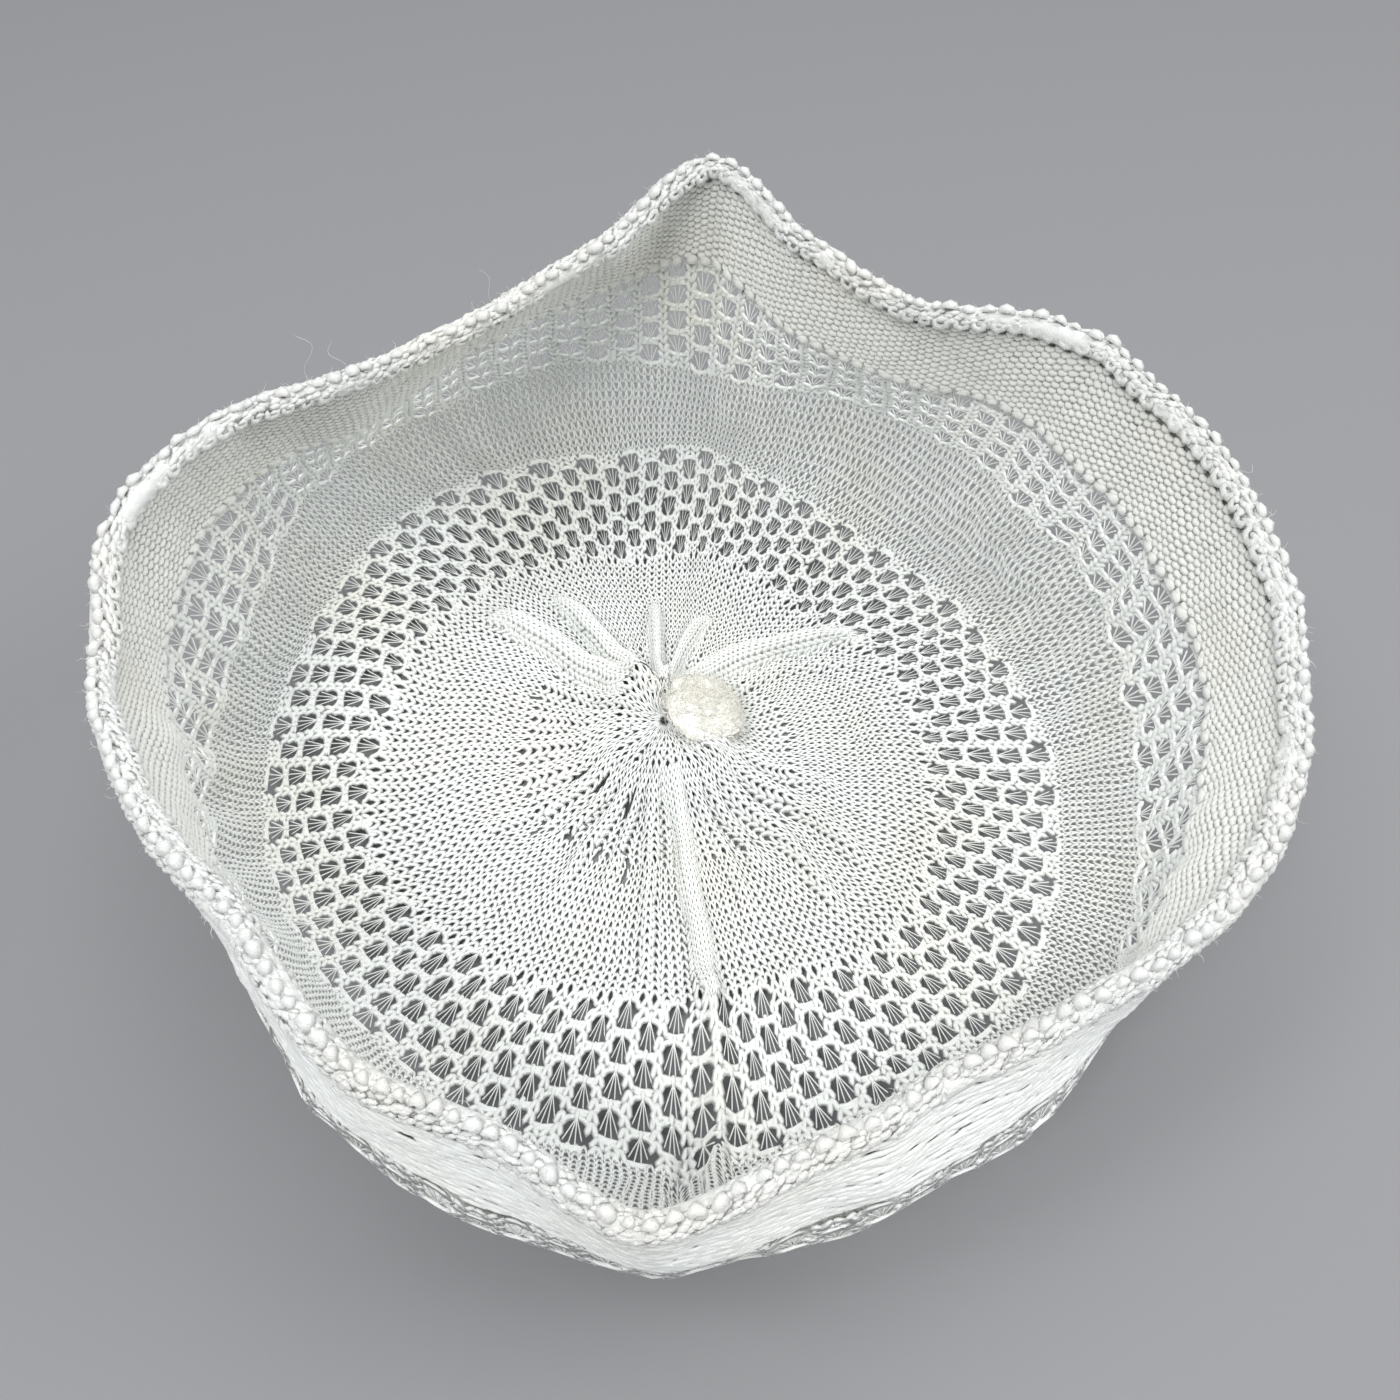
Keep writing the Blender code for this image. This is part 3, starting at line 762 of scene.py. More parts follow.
# Where a strip starts, has its full width, ends short of its fold, and how much it narrows, then how wide
# each strip is for its fold, and how far it lies over the crest and sinks at its edges and ends
STRIP_FROM, STRIP_FULL, STRIP_SHORT, STRIP_TAPER = 7.0, 13.0, 2.5, 0.35
STRIP_REACHES = (1.0, 1.5, 1.5, 1.4, 1.5, 1.5)
STRIP_OVER, STRIP_EDGE, STRIP_SINK = 0.7, 1.5, 0.5
STRIP_ROWS, STRIP_COLUMNS = 40, 13
STRIP_WALES, STRIP_COURSE, STRIP_MARGIN = 6, 1.45, 0.03
fold_stitch = plain_stitch("fold_stitch", CROWN_CELL, FOLD_LINE, half_wide=(0.37, 0.33, 0.33), deep=0.13)
# The strips' cotton is a lighter copy of knit_cotton, the same yarn: a painted highlight that makes the fold
# crests read brighter than the cloth round them
fold_cotton_painted_highlight = white_cotton("fold_cotton_painted_highlight", light=(0.94, 0.955, 0.94), shade=(0.82, 0.84, 0.825), fuzz=0.25)
strips = []
for fold, wide in zip(FOLDS, STRIP_REACHES):
    strip = work("strip", fold_strip(fold, wide), [
        {"Stitch": fold_stitch, "Wales": STRIP_WALES, "Courses": round((fold[3] - fold[2]) / STRIP_COURSE),
         "First": STRIP_MARGIN, "Last": 1 - STRIP_MARGIN, "Uneven": 0.0, "Vary": 0.0, "Slack": 0.0002,
         "Closed": 0.0},
    ], fold_cotton_painted_highlight)
    strips.append(strip.data)
    bpy.data.objects.remove(strip)
crown_folds = joined("crown_folds", strips, fold_cotton_painted_highlight)
for piece in (crown_middle, crown, crown_folds):
    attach(piece, "root")
    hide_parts("knit_body")


# ---- Lower lace ring ----
# Two rings of holes are worked into the tube of white cotton. Every second wale is dropped for a few courses,
# and its loose strands are caught in a knot on the side of the crown. The wales between stand as bars.
LACE_CELL = (4.2, 5.0)
OPEN_LINE = [
    (0.0, -0.80, -0.14),
    (0.10, -0.42, 0.0),
    (0.235, 0.0, 0.10),
    (0.365, 0.40, 0.04),
    (0.46, 0.80, -0.14),
]
BAR_STITCHES = 3
BAR_LINE = [
    (0.0, -0.14, -0.12),
    (0.04, -0.02, 0.0),
    (0.09, 0.11, 0.12),
    (0.125, 0.22, 0.05),
    (0.13, 0.36, -0.12),
]
# Lengths of yarn round both ends of a hole, in cells across and along and millimetres through
EDGE_LINES = [
    [(-0.46, -0.34, -0.10), (-0.25, -0.44, 0.04), (0.0, -0.48, 0.14),
     (0.25, -0.44, 0.04), (0.46, -0.34, -0.10)],
    [(-0.46, 0.30, -0.10), (-0.25, 0.40, 0.04), (0.0, 0.44, 0.12), (0.25, 0.40, 0.04), (0.46, 0.30, -0.10)],
    [(-0.44, 0.44, -0.12), (-0.20, 0.49, 0.0), (0.0, 0.50, 0.04), (0.20, 0.49, 0.0), (0.44, 0.44, -0.12)],
    *([(side * 0.47, -0.16, -0.10), (side * 0.43, -0.27, 0.02), (side * 0.35, -0.37, 0.12),
       (side * 0.22, -0.45, 0.06), (side * 0.08, -0.52, -0.08)] for side in (-1, 1)),
]
# Half sizes of the yarn across and through, in millimetres
BAR_WIDE, EDGE_WIDE, END_WIDE = [0.61, 0.57, 0.57], [0.57, 0.53, 0.57], [0.62, 0.58, 0.58]
BAR_DEEP, EDGE_DEEP = [0.26, 0.32, 0.28], [0.26, 0.32, 0.26]
KNOT_WIDE, KNOT_DEEP = [0.36, 0.44, 0.26], [0.3, 0.36, 0.25]
STRAND = 0.12
STRAND_ENDS = [(-0.13, 0.38), (0.09, 0.40), (0.27, 0.26), (-0.30, 0.20)]


def lace_hole(name):
    """One hole: the bar on its right, the bound edges of its ends, the knot, and the strands across it."""
    wide, high = LACE_CELL
    lengths = []
    for k in range(BAR_STITCHES):
        foot = -0.5 + k / BAR_STITCHES
        for way in (-1, 1):
            leg = [((0.5 + way * x) * wide, (foot + y) * high, z) for x, y, z in BAR_LINE]
            lengths.append(yarn(leg, BAR_WIDE, BAR_DEEP))
    for line in EDGE_LINES:
        lengths.append(yarn([(x * wide, y * high, z) for x, y, z in line], EDGE_WIDE, EDGE_DEEP))
    knot = [
        (0.0, -0.68 * high, 0.0),
        (0.0, -0.60 * high, 0.24),
        (0.0, -0.49 * high, 0.34),
        (0.0, -0.40 * high, 0.24),
        (0.0, -0.31 * high, 0.05),
    ]
    lengths.append(yarn(knot, KNOT_WIDE, KNOT_DEEP, sides=4))
    for far_x, far_y in STRAND_ENDS:
        strand = [
            (0.0, -0.46 * high, 0.2),
            (far_x * 0.12 * wide, -0.37 * high, 0.16),
            (far_x * 0.93 * wide, (far_y * 0.93 - 0.03) * high, 0.05),
            (far_x * wide, far_y * high, 0.0),
        ]
        lengths.append(yarn(strand, [STRAND, STRAND], [STRAND, STRAND]))
    return stitch_mesh(name, lengths, LACE_CELL)


def lace_end(name):
    """Close knitting that fills the step before the first hole or after the last hole of a wale."""
    wide, high = LACE_CELL[0] * 2, LACE_CELL[1] / 2
    lengths = []
    for across in (-0.125, 0.125):
        for up in (-0.25, 0.25):
            for way in (0.25, -0.25):
                leg = [((across + way * x) * wide, (up + 0.5 * y) * high, z) for x, y, z in OPEN_LINE]
                lengths.append(yarn(leg, END_WIDE, BAR_DEEP))
    return stitch_mesh(name, lengths, (wide, high))


lace_stitch = lace_hole("lace_stitch")
lace_step = lace_end("lace_step")


def lace_ring(name, first, last, rows):
    """A ring of holes, staggered from wale to wale, with close knitting in the steps at both edges."""
    step = (last - first) / (rows + 0.5)
    return work(name, body_sheet, [
        {"Stitch": lace_stitch, "Wales": 92, "Courses": rows, "First": chart_row(first),
         "Last": chart_row(first + rows * step), "Shift": -0.25, "Stagger": 0.5, "Uneven": 0.03},
        {"Stitch": lace_step, "Wales": 46, "Courses": 1, "First": chart_row(first),
         "Last": chart_row(first + step / 2), "Shift": 0.125, "Uneven": 0.0},
        {"Stitch": lace_step, "Wales": 46, "Courses": 1, "First": chart_row(last - step / 2),
         "Last": chart_row(last), "Shift": -0.375, "Uneven": 0.0},
    ], knit_cotton)


lower_lace = lace_ring("lower_lace", CROWN_EDGE, LACE_FOOT, 4)
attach(lower_lace, "root")
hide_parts("knit_body")


# ---- Plain ring ----
# Twelve courses of plain knitting in white cotton between the two rings of holes, at the tube's full number
# of wales. Nothing is fixed to it: it is knitted on from the ring of holes below.
PLAIN_CELL = (1.43, 1.5)
PLAIN_LINE = [
    (0.02, -0.80, -0.10),
    (0.12, -0.42, 0.0),
    (0.36, 0.0, 0.08),
    (0.40, 0.40, 0.04),
    (0.38, 0.84, -0.10),
]
plain_one = plain_stitch("plain_one", PLAIN_CELL, PLAIN_LINE, half_wide=(0.243, 0.216, 0.216), deep=0.17)
plain_ring = work("plain_ring", body_sheet, [
    {"Stitch": plain_one, "Wales": 368, "Courses": 12, "First": chart_row(LACE_FOOT - 0.8),
     "Last": chart_row(PLAIN_TOP + 0.5), "Slack": 0.00015},
], knit_cotton)
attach(plain_ring, "root")
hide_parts("knit_body")


# ---- Upper lace ring ----
# The same holes in the same cotton as in the lower ring, one row more. Their last row is hidden inside by the
# turned-in band and shows outside, under the band.
BAND_FOOT = 113.0
upper_lace = lace_ring("upper_lace", PLAIN_TOP, BAND_FOOT, 5)
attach(upper_lace, "root")
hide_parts("knit_body")


# ---- Outer side of the band ----
# The tube runs on up to the rim in plain white knitting, and is turned in there. Its outer side is slack, so
# its strands lie nearly flat along the courses.
BAND_TOP = 125.5
BAND_CELL = (2.84, 0.78)
# The strands lie in layers over each other, each layer shifted by its own share of a strand
BAND_LAYERS = 4
BAND_COURSES = 4
LAYER_SHIFTS = (0.0, 0.55, 0.28, 0.8)


def slack_loop(name):
    """One slack strand of the outer side, a flat wave that lies along the course."""
    wide, high = BAND_CELL
    path = [
        (-1.05 * wide, -0.30 * high, 0.22),
        (-0.55 * wide, -0.10 * high, -0.06),
        (0.0, 0.10 * high, -0.14),
        (0.55 * wide, 0.06 * high, -0.06),
        (1.05 * wide, -0.25 * high, 0.22),
    ]
    length = yarn(path, [0.66 * high, 0.70 * high, 0.66 * high], [0.22, 0.26, 0.22], sides=4)
    return stitch_mesh(name, [length], (wide, high * BAND_LAYERS))


band_one = slack_loop("band_one")
band_height = (BAND_TOP - BAND_FOOT) / (BAND_LAYERS * BAND_COURSES)
band_outside = work("band_outside", body_sheet, [
    {"Stitch": band_one, "Wales": 184, "Courses": BAND_COURSES, "Shift": LAYER_SHIFTS[k], "Stagger": 0.1,
     "First": chart_row(BAND_FOOT + k * band_height), "Last": chart_row(BAND_TOP + k * band_height),
     "Uneven": 0.12, "Vary": 0.12, "Slack": 0.0004}
    for k in range(BAND_LAYERS)
], knit_cotton)
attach(band_outside, "root")
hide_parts("knit_body")


# ---- Turned-in facing ----
# The tube's last courses are folded in and caught down, so the purl side shows: rows of small overlapping
# loops like scales. Its free edge is bound in small round bunches of yarn.
facing_cotton = white_cotton("facing_cotton", light=(0.88, 0.885, 0.85), shade=(0.74, 0.745, 0.715),
                             fuzz=0.25)
FACING_WALL = 1.2
FACING_INNER = 0.75
facing_sheet = knitted_sheet("facing_sheet", lambda run: FACING_INNER - FACING_WALL / 2 + 0 * run)
SCALE_CELL = (1.42, 1.5)


def purl_loop(name):
    """One small loop of the purl side, hanging like a scale."""
    wide, high = SCALE_CELL
    path = [
        (-0.72 * wide, 0.30 * high, -0.17),
        (-0.36 * wide, 0.0, 0.03),
        (0.0, -0.16 * high, 0.12),
        (0.36 * wide, 0.0, 0.03),
        (0.72 * wide, 0.30 * high, -0.17),
    ]
    length = yarn(path, [0.47 * high, 0.50 * high, 0.47 * high], [0.24, 0.30, 0.24], sides=4)
    return stitch_mesh(name, [length], SCALE_CELL)


purl_one = purl_loop("purl_one")
bunch = stitch_mesh("bunch", [
    yarn([(0, -0.85, -0.15), (0, -0.6, 0.08), (0, 0.0, 0.16), (0, 0.8, 0.12), (0, 1.2, -0.1)],
         [1.05, 1.42, 1.1], [0.26, 0.32, 0.26], sides=6),
], (2.84, 2.0))
facing = work("facing", facing_sheet, [
    {"Stitch": purl_one, "Wales": 368, "Courses": 12, "First": chart_row(FACING_EDGE + 0.4),
     "Last": chart_row(BAND_TOP), "Stagger": 0.5, "Uneven": 0.03, "Slack": 0.0001},
    {"Stitch": bunch, "Wales": 184, "Courses": 1, "First": chart_row(FACING_EDGE - 1.0),
     "Last": chart_row(FACING_EDGE + 1.0), "Uneven": 0.1, "Slack": 0.0004},
], facing_cotton)
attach(facing, "root")
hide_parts("hem_facing")


# ---- Rolled edge with picots ----
# The fold of the tube is drawn over a thick cord of yarn. Fat loops bind it: a row of picots stands on
# top, and a row of rounder loops shows on the side of the hollow.
edge_cotton = white_cotton("edge_cotton", light=(0.86, 0.865, 0.85), shade=(0.62, 0.63, 0.615),
                           fuzz=0.35, relief=0.7)
ROLL_INWARD = -0.3
ROLL_CORE = 1.55
ROLL_SIDES = 24
ROLL_FROM = -110


def roll_sheet():
    """The surface of the cord, charted along the rim and once round its section from its hidden foot."""
    angle = np.linspace(0, 360, SHEET_COLUMNS + 1)
    run = np.full_like(angle, RIM)
    middle, inward = cloth_point(angle, run, np.full_like(angle, ROLL_INWARD))
    tangent = np.gradient(middle, axis=0)
    tangent[0] = tangent[-1] = middle[1] - middle[-2]
    tangent /= np.linalg.norm(tangent, axis=1, keepdims=True)
    upward = np.cross(inward, tangent)
    upward /= np.linalg.norm(upward, axis=1, keepdims=True)
    points, normals = [], []
    for turn in np.radians(np.linspace(ROLL_FROM, ROLL_FROM + 360, ROLL_SIDES + 1)):
        outwards = np.cos(turn) * inward + np.sin(turn) * upward
        points.append(middle + outwards * ROLL_CORE * MM)
        normals.append(outwards)
    return flat_sheet("roll_sheet", np.array(points), np.array(normals))


def roll_row(turn):
    """Where a turn round the cord lies on its chart: nought faces the hollow and 90 is the top."""
    return (turn - ROLL_FROM) / 360


def closed_core(sheet):
    """The cord itself, from its charted surface with both seams closed."""
    columns = SHEET_COLUMNS + 1
    coords = np.empty(len(sheet.vertices) * 3)
    sheet.vertices.foreach_get("co", coords)
    grid = coords.reshape(-1, columns, 3)[:-1, :-1]
    rows, columns = grid.shape[:2]
    number = np.arange(rows * columns).reshape(rows, columns)
    right = np.roll(number, -1, axis=1)
    up = np.roll(number, -1, axis=0)
    corner = np.roll(right, -1, axis=0)
    quads = np.stack([number, right, corner, up], axis=-1).reshape(-1, 4)
    mesh = bpy.data.meshes.new("roll_core")
    mesh.from_pydata(grid.reshape(-1, 3).tolist(), [], quads.tolist())
    return mesh


cord_sheet = roll_sheet()
RIM_PITCH = 2.84
# How many loops stand in each row, and where the row lies in degrees round the cord
PICOTS, PICOT_TURN = 190, 95
ROUND_LOOPS, ROUND_TURN = 184, -8
SLANT_LOOPS, SLANT_SHIFT = 300, 0.37
BINDING_TURNS = (22, 42, 62, 80, 112, 130, 150, 170, 190)
picot = stitch_mesh("picot", [
    yarn([(-0.72, 0.2, -0.5), (-0.86, 0.1, 0.1), (-0.58, 0.0, 0.62), (0.0, -0.1, 0.9), (0.58, 0.0, 0.62),
          (0.86, 0.1, 0.1), (0.72, 0.2, -0.5)],
         [0.46, 0.50, 0.54, 0.50, 0.46], [0.36, 0.40, 0.42, 0.40, 0.36], side=(0, 1, 0), sides=6),
], (2.74, 1.0))
round_loop = stitch_mesh("round_loop", [
    yarn([(-0.5, 1.3, -0.35), (-0.85, 0.7, 0.02), (-0.85, 0.0, 0.18), (0.0, -0.45, 0.26), (0.85, 0.0, 0.18),
          (0.85, 0.7, 0.02), (0.5, 1.3, -0.35)],
         [0.46, 0.58, 0.64, 0.58, 0.46], [0.30, 0.36, 0.40, 0.36, 0.30], sides=6),
], (RIM_PITCH, 1.0))
slant_loop = stitch_mesh("slant_loop", [
    yarn([(-1.15, -0.25, -0.14), (-0.6, -0.12, 0.04), (0.0, 0.05, 0.12), (0.6, 0.12, 0.04),
          (1.15, 0.2, -0.14)],
         [0.42, 0.54, 0.42], [0.22, 0.28, 0.22], sides=4),
], (1.75, 1.0))
around_roll = 2 * np.pi * ROLL_CORE


def rim_row(stitch, count, turn, seed, **changes):
    """One row of loops along the cord at a turn round it."""
    half = 0.5 / around_roll
    row = {"Stitch": stitch, "Wales": count, "Courses": 1, "First": roll_row(turn) - half,
           "Last": roll_row(turn) + half, "Uneven": 0.2, "Vary": 0.2, "Slack": 0.0009, "Seed": seed}
    row.update(changes)
    return row


picot_rim = work("picot_rim_loops", cord_sheet, [
    rim_row(picot, PICOTS, PICOT_TURN, 11, Uneven=0.13, Vary=0.16, Slack=0.001),
    rim_row(round_loop, ROUND_LOOPS, ROUND_TURN, 12, Uneven=0.12, Vary=0.16, Slack=0.001),
    *(rim_row(slant_loop, SLANT_LOOPS, turn, 20 + k, Shift=SLANT_SHIFT * k, Uneven=0.3)
      for k, turn in enumerate(BINDING_TURNS)),
], edge_cotton)
core_mesh = closed_core(cord_sheet)


FIBRE_INPUTS = [
    ("Fibre", "Object"), ("Density", "Float"), ("Lean", "Float"), ("Smallest", "Float"), ("Largest", "Float"),
    ("Seed", "Int"), ("Cotton", "Material"),
]
HALF_TURN = 3.14159


def fibres_on_surface():
    """Loose fibres scattered over a surface, each turned and leaning its own way."""
    tree = new_tree("fibres_on_surface", FIBRE_INPUTS)
    given = tree.nodes.new("NodeGroupInput").outputs
    scatter = node(tree, "GeometryNodeDistributePointsOnFaces", {
        "Mesh": given["Cloth"], "Density": given["Density"], "Seed": given["Seed"],
    })
    turned = node(tree, "FunctionNodeRandomValue", data_type="FLOAT_VECTOR")
    backwards = sum_of(tree, "MULTIPLY", given["Lean"], -1.0)
    low = node(tree, "ShaderNodeCombineXYZ", [backwards, backwards, -HALF_TURN])
    high = node(tree, "ShaderNodeCombineXYZ", [given["Lean"], given["Lean"], HALF_TURN])
    tree.links.new(low.outputs[0], turned.inputs[0])
    tree.links.new(high.outputs[0], turned.inputs[1])
    tree.links.new(given["Seed"], turned.inputs["Seed"])
    own_way = node(tree, "FunctionNodeEulerToRotation", [turned.outputs[0]])
    rotation = node(tree, "FunctionNodeRotateRotation", [scatter.outputs["Rotation"], own_way.outputs[0]],
                    rotation_space="LOCAL")
    size = node(tree, "FunctionNodeRandomValue", data_type="FLOAT")
    floats = [socket for socket in size.inputs if socket.type == "VALUE" and socket.enabled]
    tree.links.new(given["Smallest"], floats[0])
    tree.links.new(given["Largest"], floats[1])
    tree.links.new(given["Seed"], size.inputs["Seed"])
    fibre = node(tree, "GeometryNodeObjectInfo", [given["Fibre"]])
    copies = node(tree, "GeometryNodeInstanceOnPoints", {
        "Points": scatter.outputs["Points"], "Instance": fibre.outputs["Geometry"],
        "Rotation": rotation.outputs[0], "Scale": [socket for socket in size.outputs if socket.enabled][0],
    })
    smooth = node(tree, "GeometryNodeSetShadeSmooth", {"Geometry": copies.outputs[0]})
    real = node(tree, "GeometryNodeRealizeInstances", [smooth.outputs[0]])
    dyed = node(tree, "GeometryNodeSetMaterial", {"Geometry": real.outputs[0], "Material": given["Cotton"]})
    node(tree, "NodeGroupOutput", [dyed.outputs[0]])
    return tree


fibre_tree = fibres_on_surface()
FIBRE_DROOP, FIBRE_TAPER = 0.25, 0.6


def curly_fibre(name, length, curl, turns, thick, rings):
    """One thin fibre that rises from its foot in a loose curl, in metres."""
    share = np.linspace(0, 1, rings + 2)
    path = np.stack([
        curl * np.sin(share * turns * 2 * np.pi) * share,
        curl * (1 - np.cos(share * turns * 2 * np.pi)) * share + FIBRE_DROOP * length * share**2,
        length * share * (1 - FIBRE_DROOP * share),
    ], axis=-1)
    thin = [thick * (1 - FIBRE_TAPER * k / rings) for k in range(rings)]
    points, faces = yarn(path, thin, thin, side=(1, 0.2, 0), sides=3)
    mesh = bpy.data.meshes.new(name)
    mesh.from_pydata((points * MM).tolist(), [], faces)
    made = bpy.data.objects.new(name, mesh)
    bpy.context.scene.collection.objects.link(made)
    return made


def scattered(surface, fibre, density, lean, sizes, seed, cotton):
    """Fibres over a surface mesh, as a plain mesh."""
    holder = bpy.data.objects.new("fibre_ground", surface)
    bpy.context.scene.collection.objects.link(holder)
    modifier = holder.modifiers.new("fibres", "NODES")
    modifier.node_group = fibre_tree
    values = {"Fibre": fibre, "Density": density, "Lean": lean, "Smallest": sizes[0], "Largest": sizes[1],
              "Seed": seed, "Cotton": cotton}
    for item in fibre_tree.interface.items_tree:
        if item.in_out == "INPUT" and item.name in values:
            modifier[item.identifier] = values[item.name]
    bpy.context.view_layer.update()
    evaluated = holder.evaluated_get(bpy.context.evaluated_depsgraph_get())
    mesh = bpy.data.meshes.new_from_object(evaluated)
    holder.modifiers.remove(modifier)
    bpy.data.objects.remove(holder)
    return mesh


fuzz_fibre = curly_fibre("fuzz_fibre", length=1.5, curl=0.4, turns=0.8, thick=0.035, rings=3)
FUZZ_DENSITY, FUZZ_LEAN = 3.2e5, 1.2
# angle, length, curl: loose fibres that stand off the edge
STRAY_FIBRES = [
    (310, 8.0, 1.4),
    (313, 6.0, -1.0),
    (331, 6.0, 0.9),
    (72, 5.0, 1.0),
]
STRAY_POINTS, STRAY_THICK, STRAY_TURNS = 12, 0.032, 7.0
STRAY_OUT, STRAY_UP = 0.7, 0.6


def stray_fibre(angle, length, curl):
    """One long loose fibre that stands off the edge."""
    foot, inward = cloth_point(np.array([float(angle)]), np.array([RIM]), np.array([ROLL_INWARD]))
    share = np.linspace(0, 1, STRAY_POINTS)[:, None]
    sideways = np.cross(inward, (0.0, 0.0, 1.0))
    risen = np.array([[0.0, 0.0, length * STRAY_UP]]) * np.sqrt(share)
    path = foot / MM - inward * length * share * STRAY_OUT + risen
    path = path + sideways * curl * np.sin(share * STRAY_TURNS)
    thick = [STRAY_THICK] * (STRAY_POINTS - 2)
    points, faces = yarn(path, thick, thick, side=(0.3, 0.2, 1.0))
    mesh = bpy.data.meshes.new("stray_fibre")
    mesh.from_pydata((points * MM).tolist(), [], faces)
    return mesh


picot_rim = joined("picot_rim_roll", [
    picot_rim.data,
    core_mesh,
    scattered(core_mesh, fuzz_fibre, FUZZ_DENSITY, FUZZ_LEAN, (0.6, 1.5), 31, edge_cotton),
    *(stray_fibre(*row) for row in STRAY_FIBRES),
], edge_cotton)
bpy.data.objects.remove(bpy.data.objects["picot_rim_loops"])
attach(picot_rim, "root")
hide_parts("picot_rim")


# ---- Felted tuft ----
# The end of the gathering yarn has been left inside the crown and has felted into a soft cream pad with
# loose curly fibres all round it.
felted_fibre = white_cotton("felted_fibre", light=(0.98, 0.975, 0.94), shade=(0.90, 0.89, 0.83), fuzz=0.4)
PAD_ASIDE = 0.0014
LUMP_SCALE, LUMP_DEPTH = 900, 0.00035
OUTLINE_SCALE, OUTLINE_DEPTH = 260, 0.10


def felted_pad():
    """The tuft's solid, finer and lumpy."""
    shape = bmesh.new()
    shape.from_mesh(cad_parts["crown_tuft"].data)
    bmesh.ops.remove_doubles(shape, verts=shape.verts, dist=1e-6)
    bmesh.ops.subdivide_edges(shape, edges=shape.edges, cuts=3, use_grid_fill=True, smooth=0.6)
    bmesh.ops.recalc_face_normals(shape, faces=shape.faces)
    shape.normal_update()
    middle = sum((vert.co for vert in shape.verts), Vector()) / len(shape.verts)
    for vert in shape.verts:
        lump = noise.fractal(vert.co * LUMP_SCALE, 0.7, 2.0, 4)
        vert.co += vert.normal * lump * LUMP_DEPTH
        vert.co.x += PAD_ASIDE
        vert.co.xy += (vert.co.xy - middle.xy) * OUTLINE_DEPTH * noise.noise(vert.co * OUTLINE_SCALE)
    mesh = bpy.data.meshes.new("felted_pad")
    shape.to_mesh(mesh)
    shape.free()
    mesh.shade_smooth()
    return mesh


pad_mesh = felted_pad()
long_curl = curly_fibre("long_curl", length=3.4, curl=0.7, turns=1.6, thick=0.055, rings=9)
short_curl = curly_fibre("short_curl", length=1.6, curl=0.45, turns=0.9, thick=0.06, rings=5)
LONG_DENSITY, SHORT_DENSITY, CURL_LEAN = 1.2e6, 3.2e6, 1.5
LOOP_TURNS = np.radians(np.linspace(-40, 290, 14))
LOOP_FOOT = (331.0, 5.2)
LOOP_WIDE, LOOP_LONG, LOOP_YARN = 1.3, 1.5, 0.13


def loop_beside_gather():
    """The slack loop of thread that stands beside the gather."""
    angle, run = LOOP_FOOT
    foot = cloth_point(np.array([angle]), np.array([run]), np.array([-BODY_WALL / 2]))[0] / MM
    rise = 0.5 + 0.5 * np.sin(LOOP_TURNS / 2)
    path = foot + np.stack([LOOP_WIDE * np.cos(LOOP_TURNS), LOOP_LONG * np.sin(LOOP_TURNS), rise], axis=-1)
    thick = [LOOP_YARN] * (len(LOOP_TURNS) - 2)
    points, faces = yarn(path, thick, thick, side=(0.2, 0.1, 1.0), sides=4)
    mesh = bpy.data.meshes.new("loop_beside_gather")
    mesh.from_pydata((points * MM).tolist(), [], faces)
    return mesh


tuft = joined("crown_tuft_felt", [
    pad_mesh,
    loop_beside_gather(),
    scattered(pad_mesh, long_curl, LONG_DENSITY, CURL_LEAN, (0.5, 1.3), 21, felted_fibre),
    scattered(pad_mesh, short_curl, SHORT_DENSITY, CURL_LEAN, (0.6, 1.5), 22, felted_fibre),
], felted_fibre)
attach(tuft, "root")
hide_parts("crown_tuft")

# The single stitches and fibres have been copied, and are no part of the cap
for helper in (crown_stitch, fold_stitch, lace_stitch, lace_step, plain_one, band_one, purl_one, bunch,
               picot, round_loop, slant_loop, fuzz_fibre, long_curl, short_curl):
    bpy.data.objects.remove(helper)


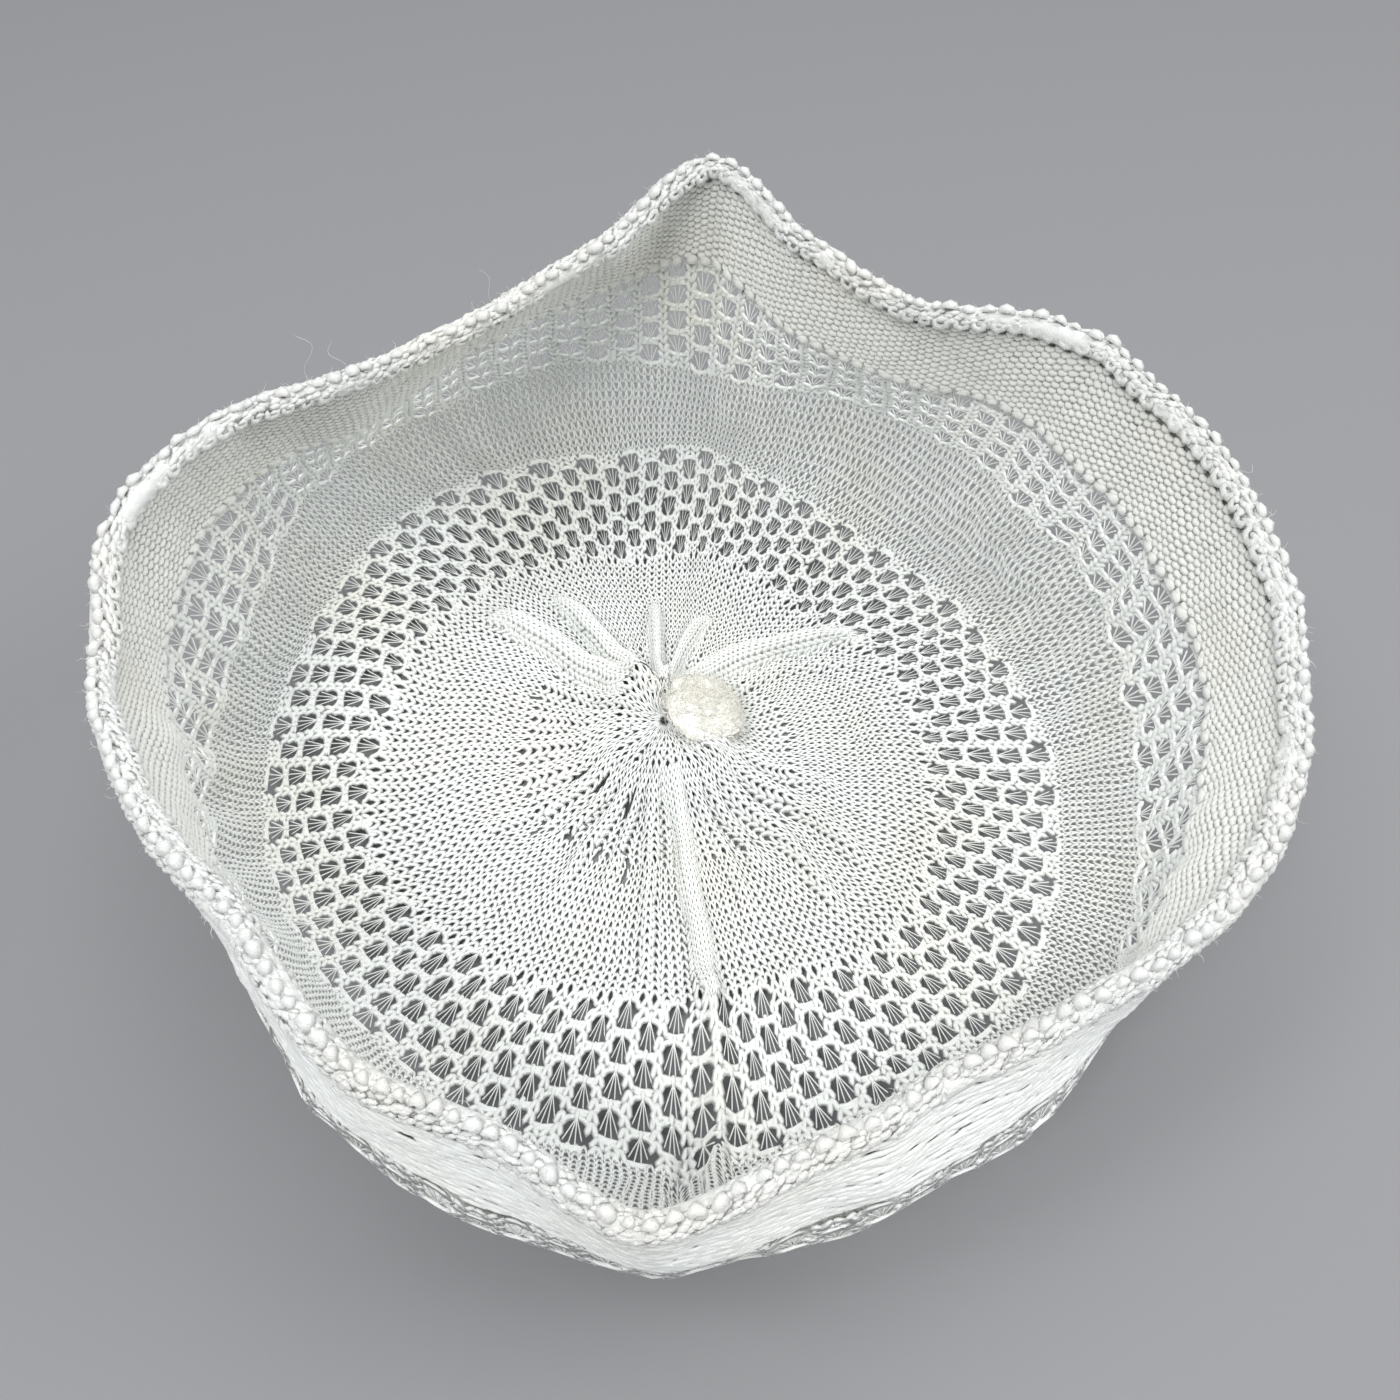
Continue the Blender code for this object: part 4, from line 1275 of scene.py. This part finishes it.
# ---- Floor, light and camera ----
# A plain floor, a broad soft light overhead with smaller ones from the front, the left and the right, and the
# photograph's angle.
FLOOR_SIZE = 3.0
FLOOR_COLOUR = (0.25, 0.25, 0.26, 1.0)
FLOOR_ROUGHNESS = 0.9
ROOM_COLOUR = (0.95, 0.98, 1.0, 1.0)
ROOM_STRENGTH = 0.41
bpy.ops.mesh.primitive_plane_add(size=FLOOR_SIZE, location=(0, 0, 0))
floor = bpy.context.object
floor.name = "floor"
paper = bpy.data.materials.new("floor_paper")
paper.use_nodes = True
paper_shader = paper.node_tree.nodes["Principled BSDF"]
paper_shader.inputs["Base Color"].default_value = FLOOR_COLOUR
paper_shader.inputs["Roughness"].default_value = FLOOR_ROUGHNESS
floor.data.materials.append(paper)

# name, place in metres, size, power in watts: each light faces the middle of the cap
LIGHTS = [
    ("front", (-0.20, -0.53, 0.82), 0.25, 4.1),
    ("overhead", (0.0, 0.05, 1.0), 0.7, 4.2),
    ("key", (-0.40, -0.20, 0.85), 0.2, 1.2),
    ("side", (0.75, -0.05, 0.72), 0.5, 4.2),
]
CAP_MIDDLE = Vector((0.0, 0.0, 0.03))
for light_name, place, size, power in LIGHTS:
    lamp = bpy.data.lights.new(light_name, "AREA")
    lamp.size = size
    lamp.energy = power
    shining = bpy.data.objects.new(light_name, lamp)
    shining.location = place
    shining.rotation_euler = (CAP_MIDDLE - Vector(place)).to_track_quat("-Z", "Y").to_euler()
    bpy.context.scene.collection.objects.link(shining)
world = bpy.data.worlds.new("room")
world.use_nodes = True
world.node_tree.nodes["Background"].inputs["Color"].default_value = ROOM_COLOUR
world.node_tree.nodes["Background"].inputs["Strength"].default_value = ROOM_STRENGTH
bpy.context.scene.world = world

CAMERA_PLACE = Vector((0.00169, -0.1382, 0.2025))
CAMERA_TARGET = Vector((0.00169, 0.00089, 0.0302))
LENS = 37.77
lens = bpy.data.cameras.new("camera")
lens.lens = LENS
lens.sensor_width = 36.0
lens.clip_start = 0.01
camera = bpy.data.objects.new("camera", lens)
camera.location = CAMERA_PLACE
camera.rotation_euler = (CAMERA_TARGET - CAMERA_PLACE).to_track_quat("-Z", "Y").to_euler()
bpy.context.scene.collection.objects.link(camera)
bpy.context.scene.camera = camera

bpy.context.scene.view_settings.view_transform = "Standard"
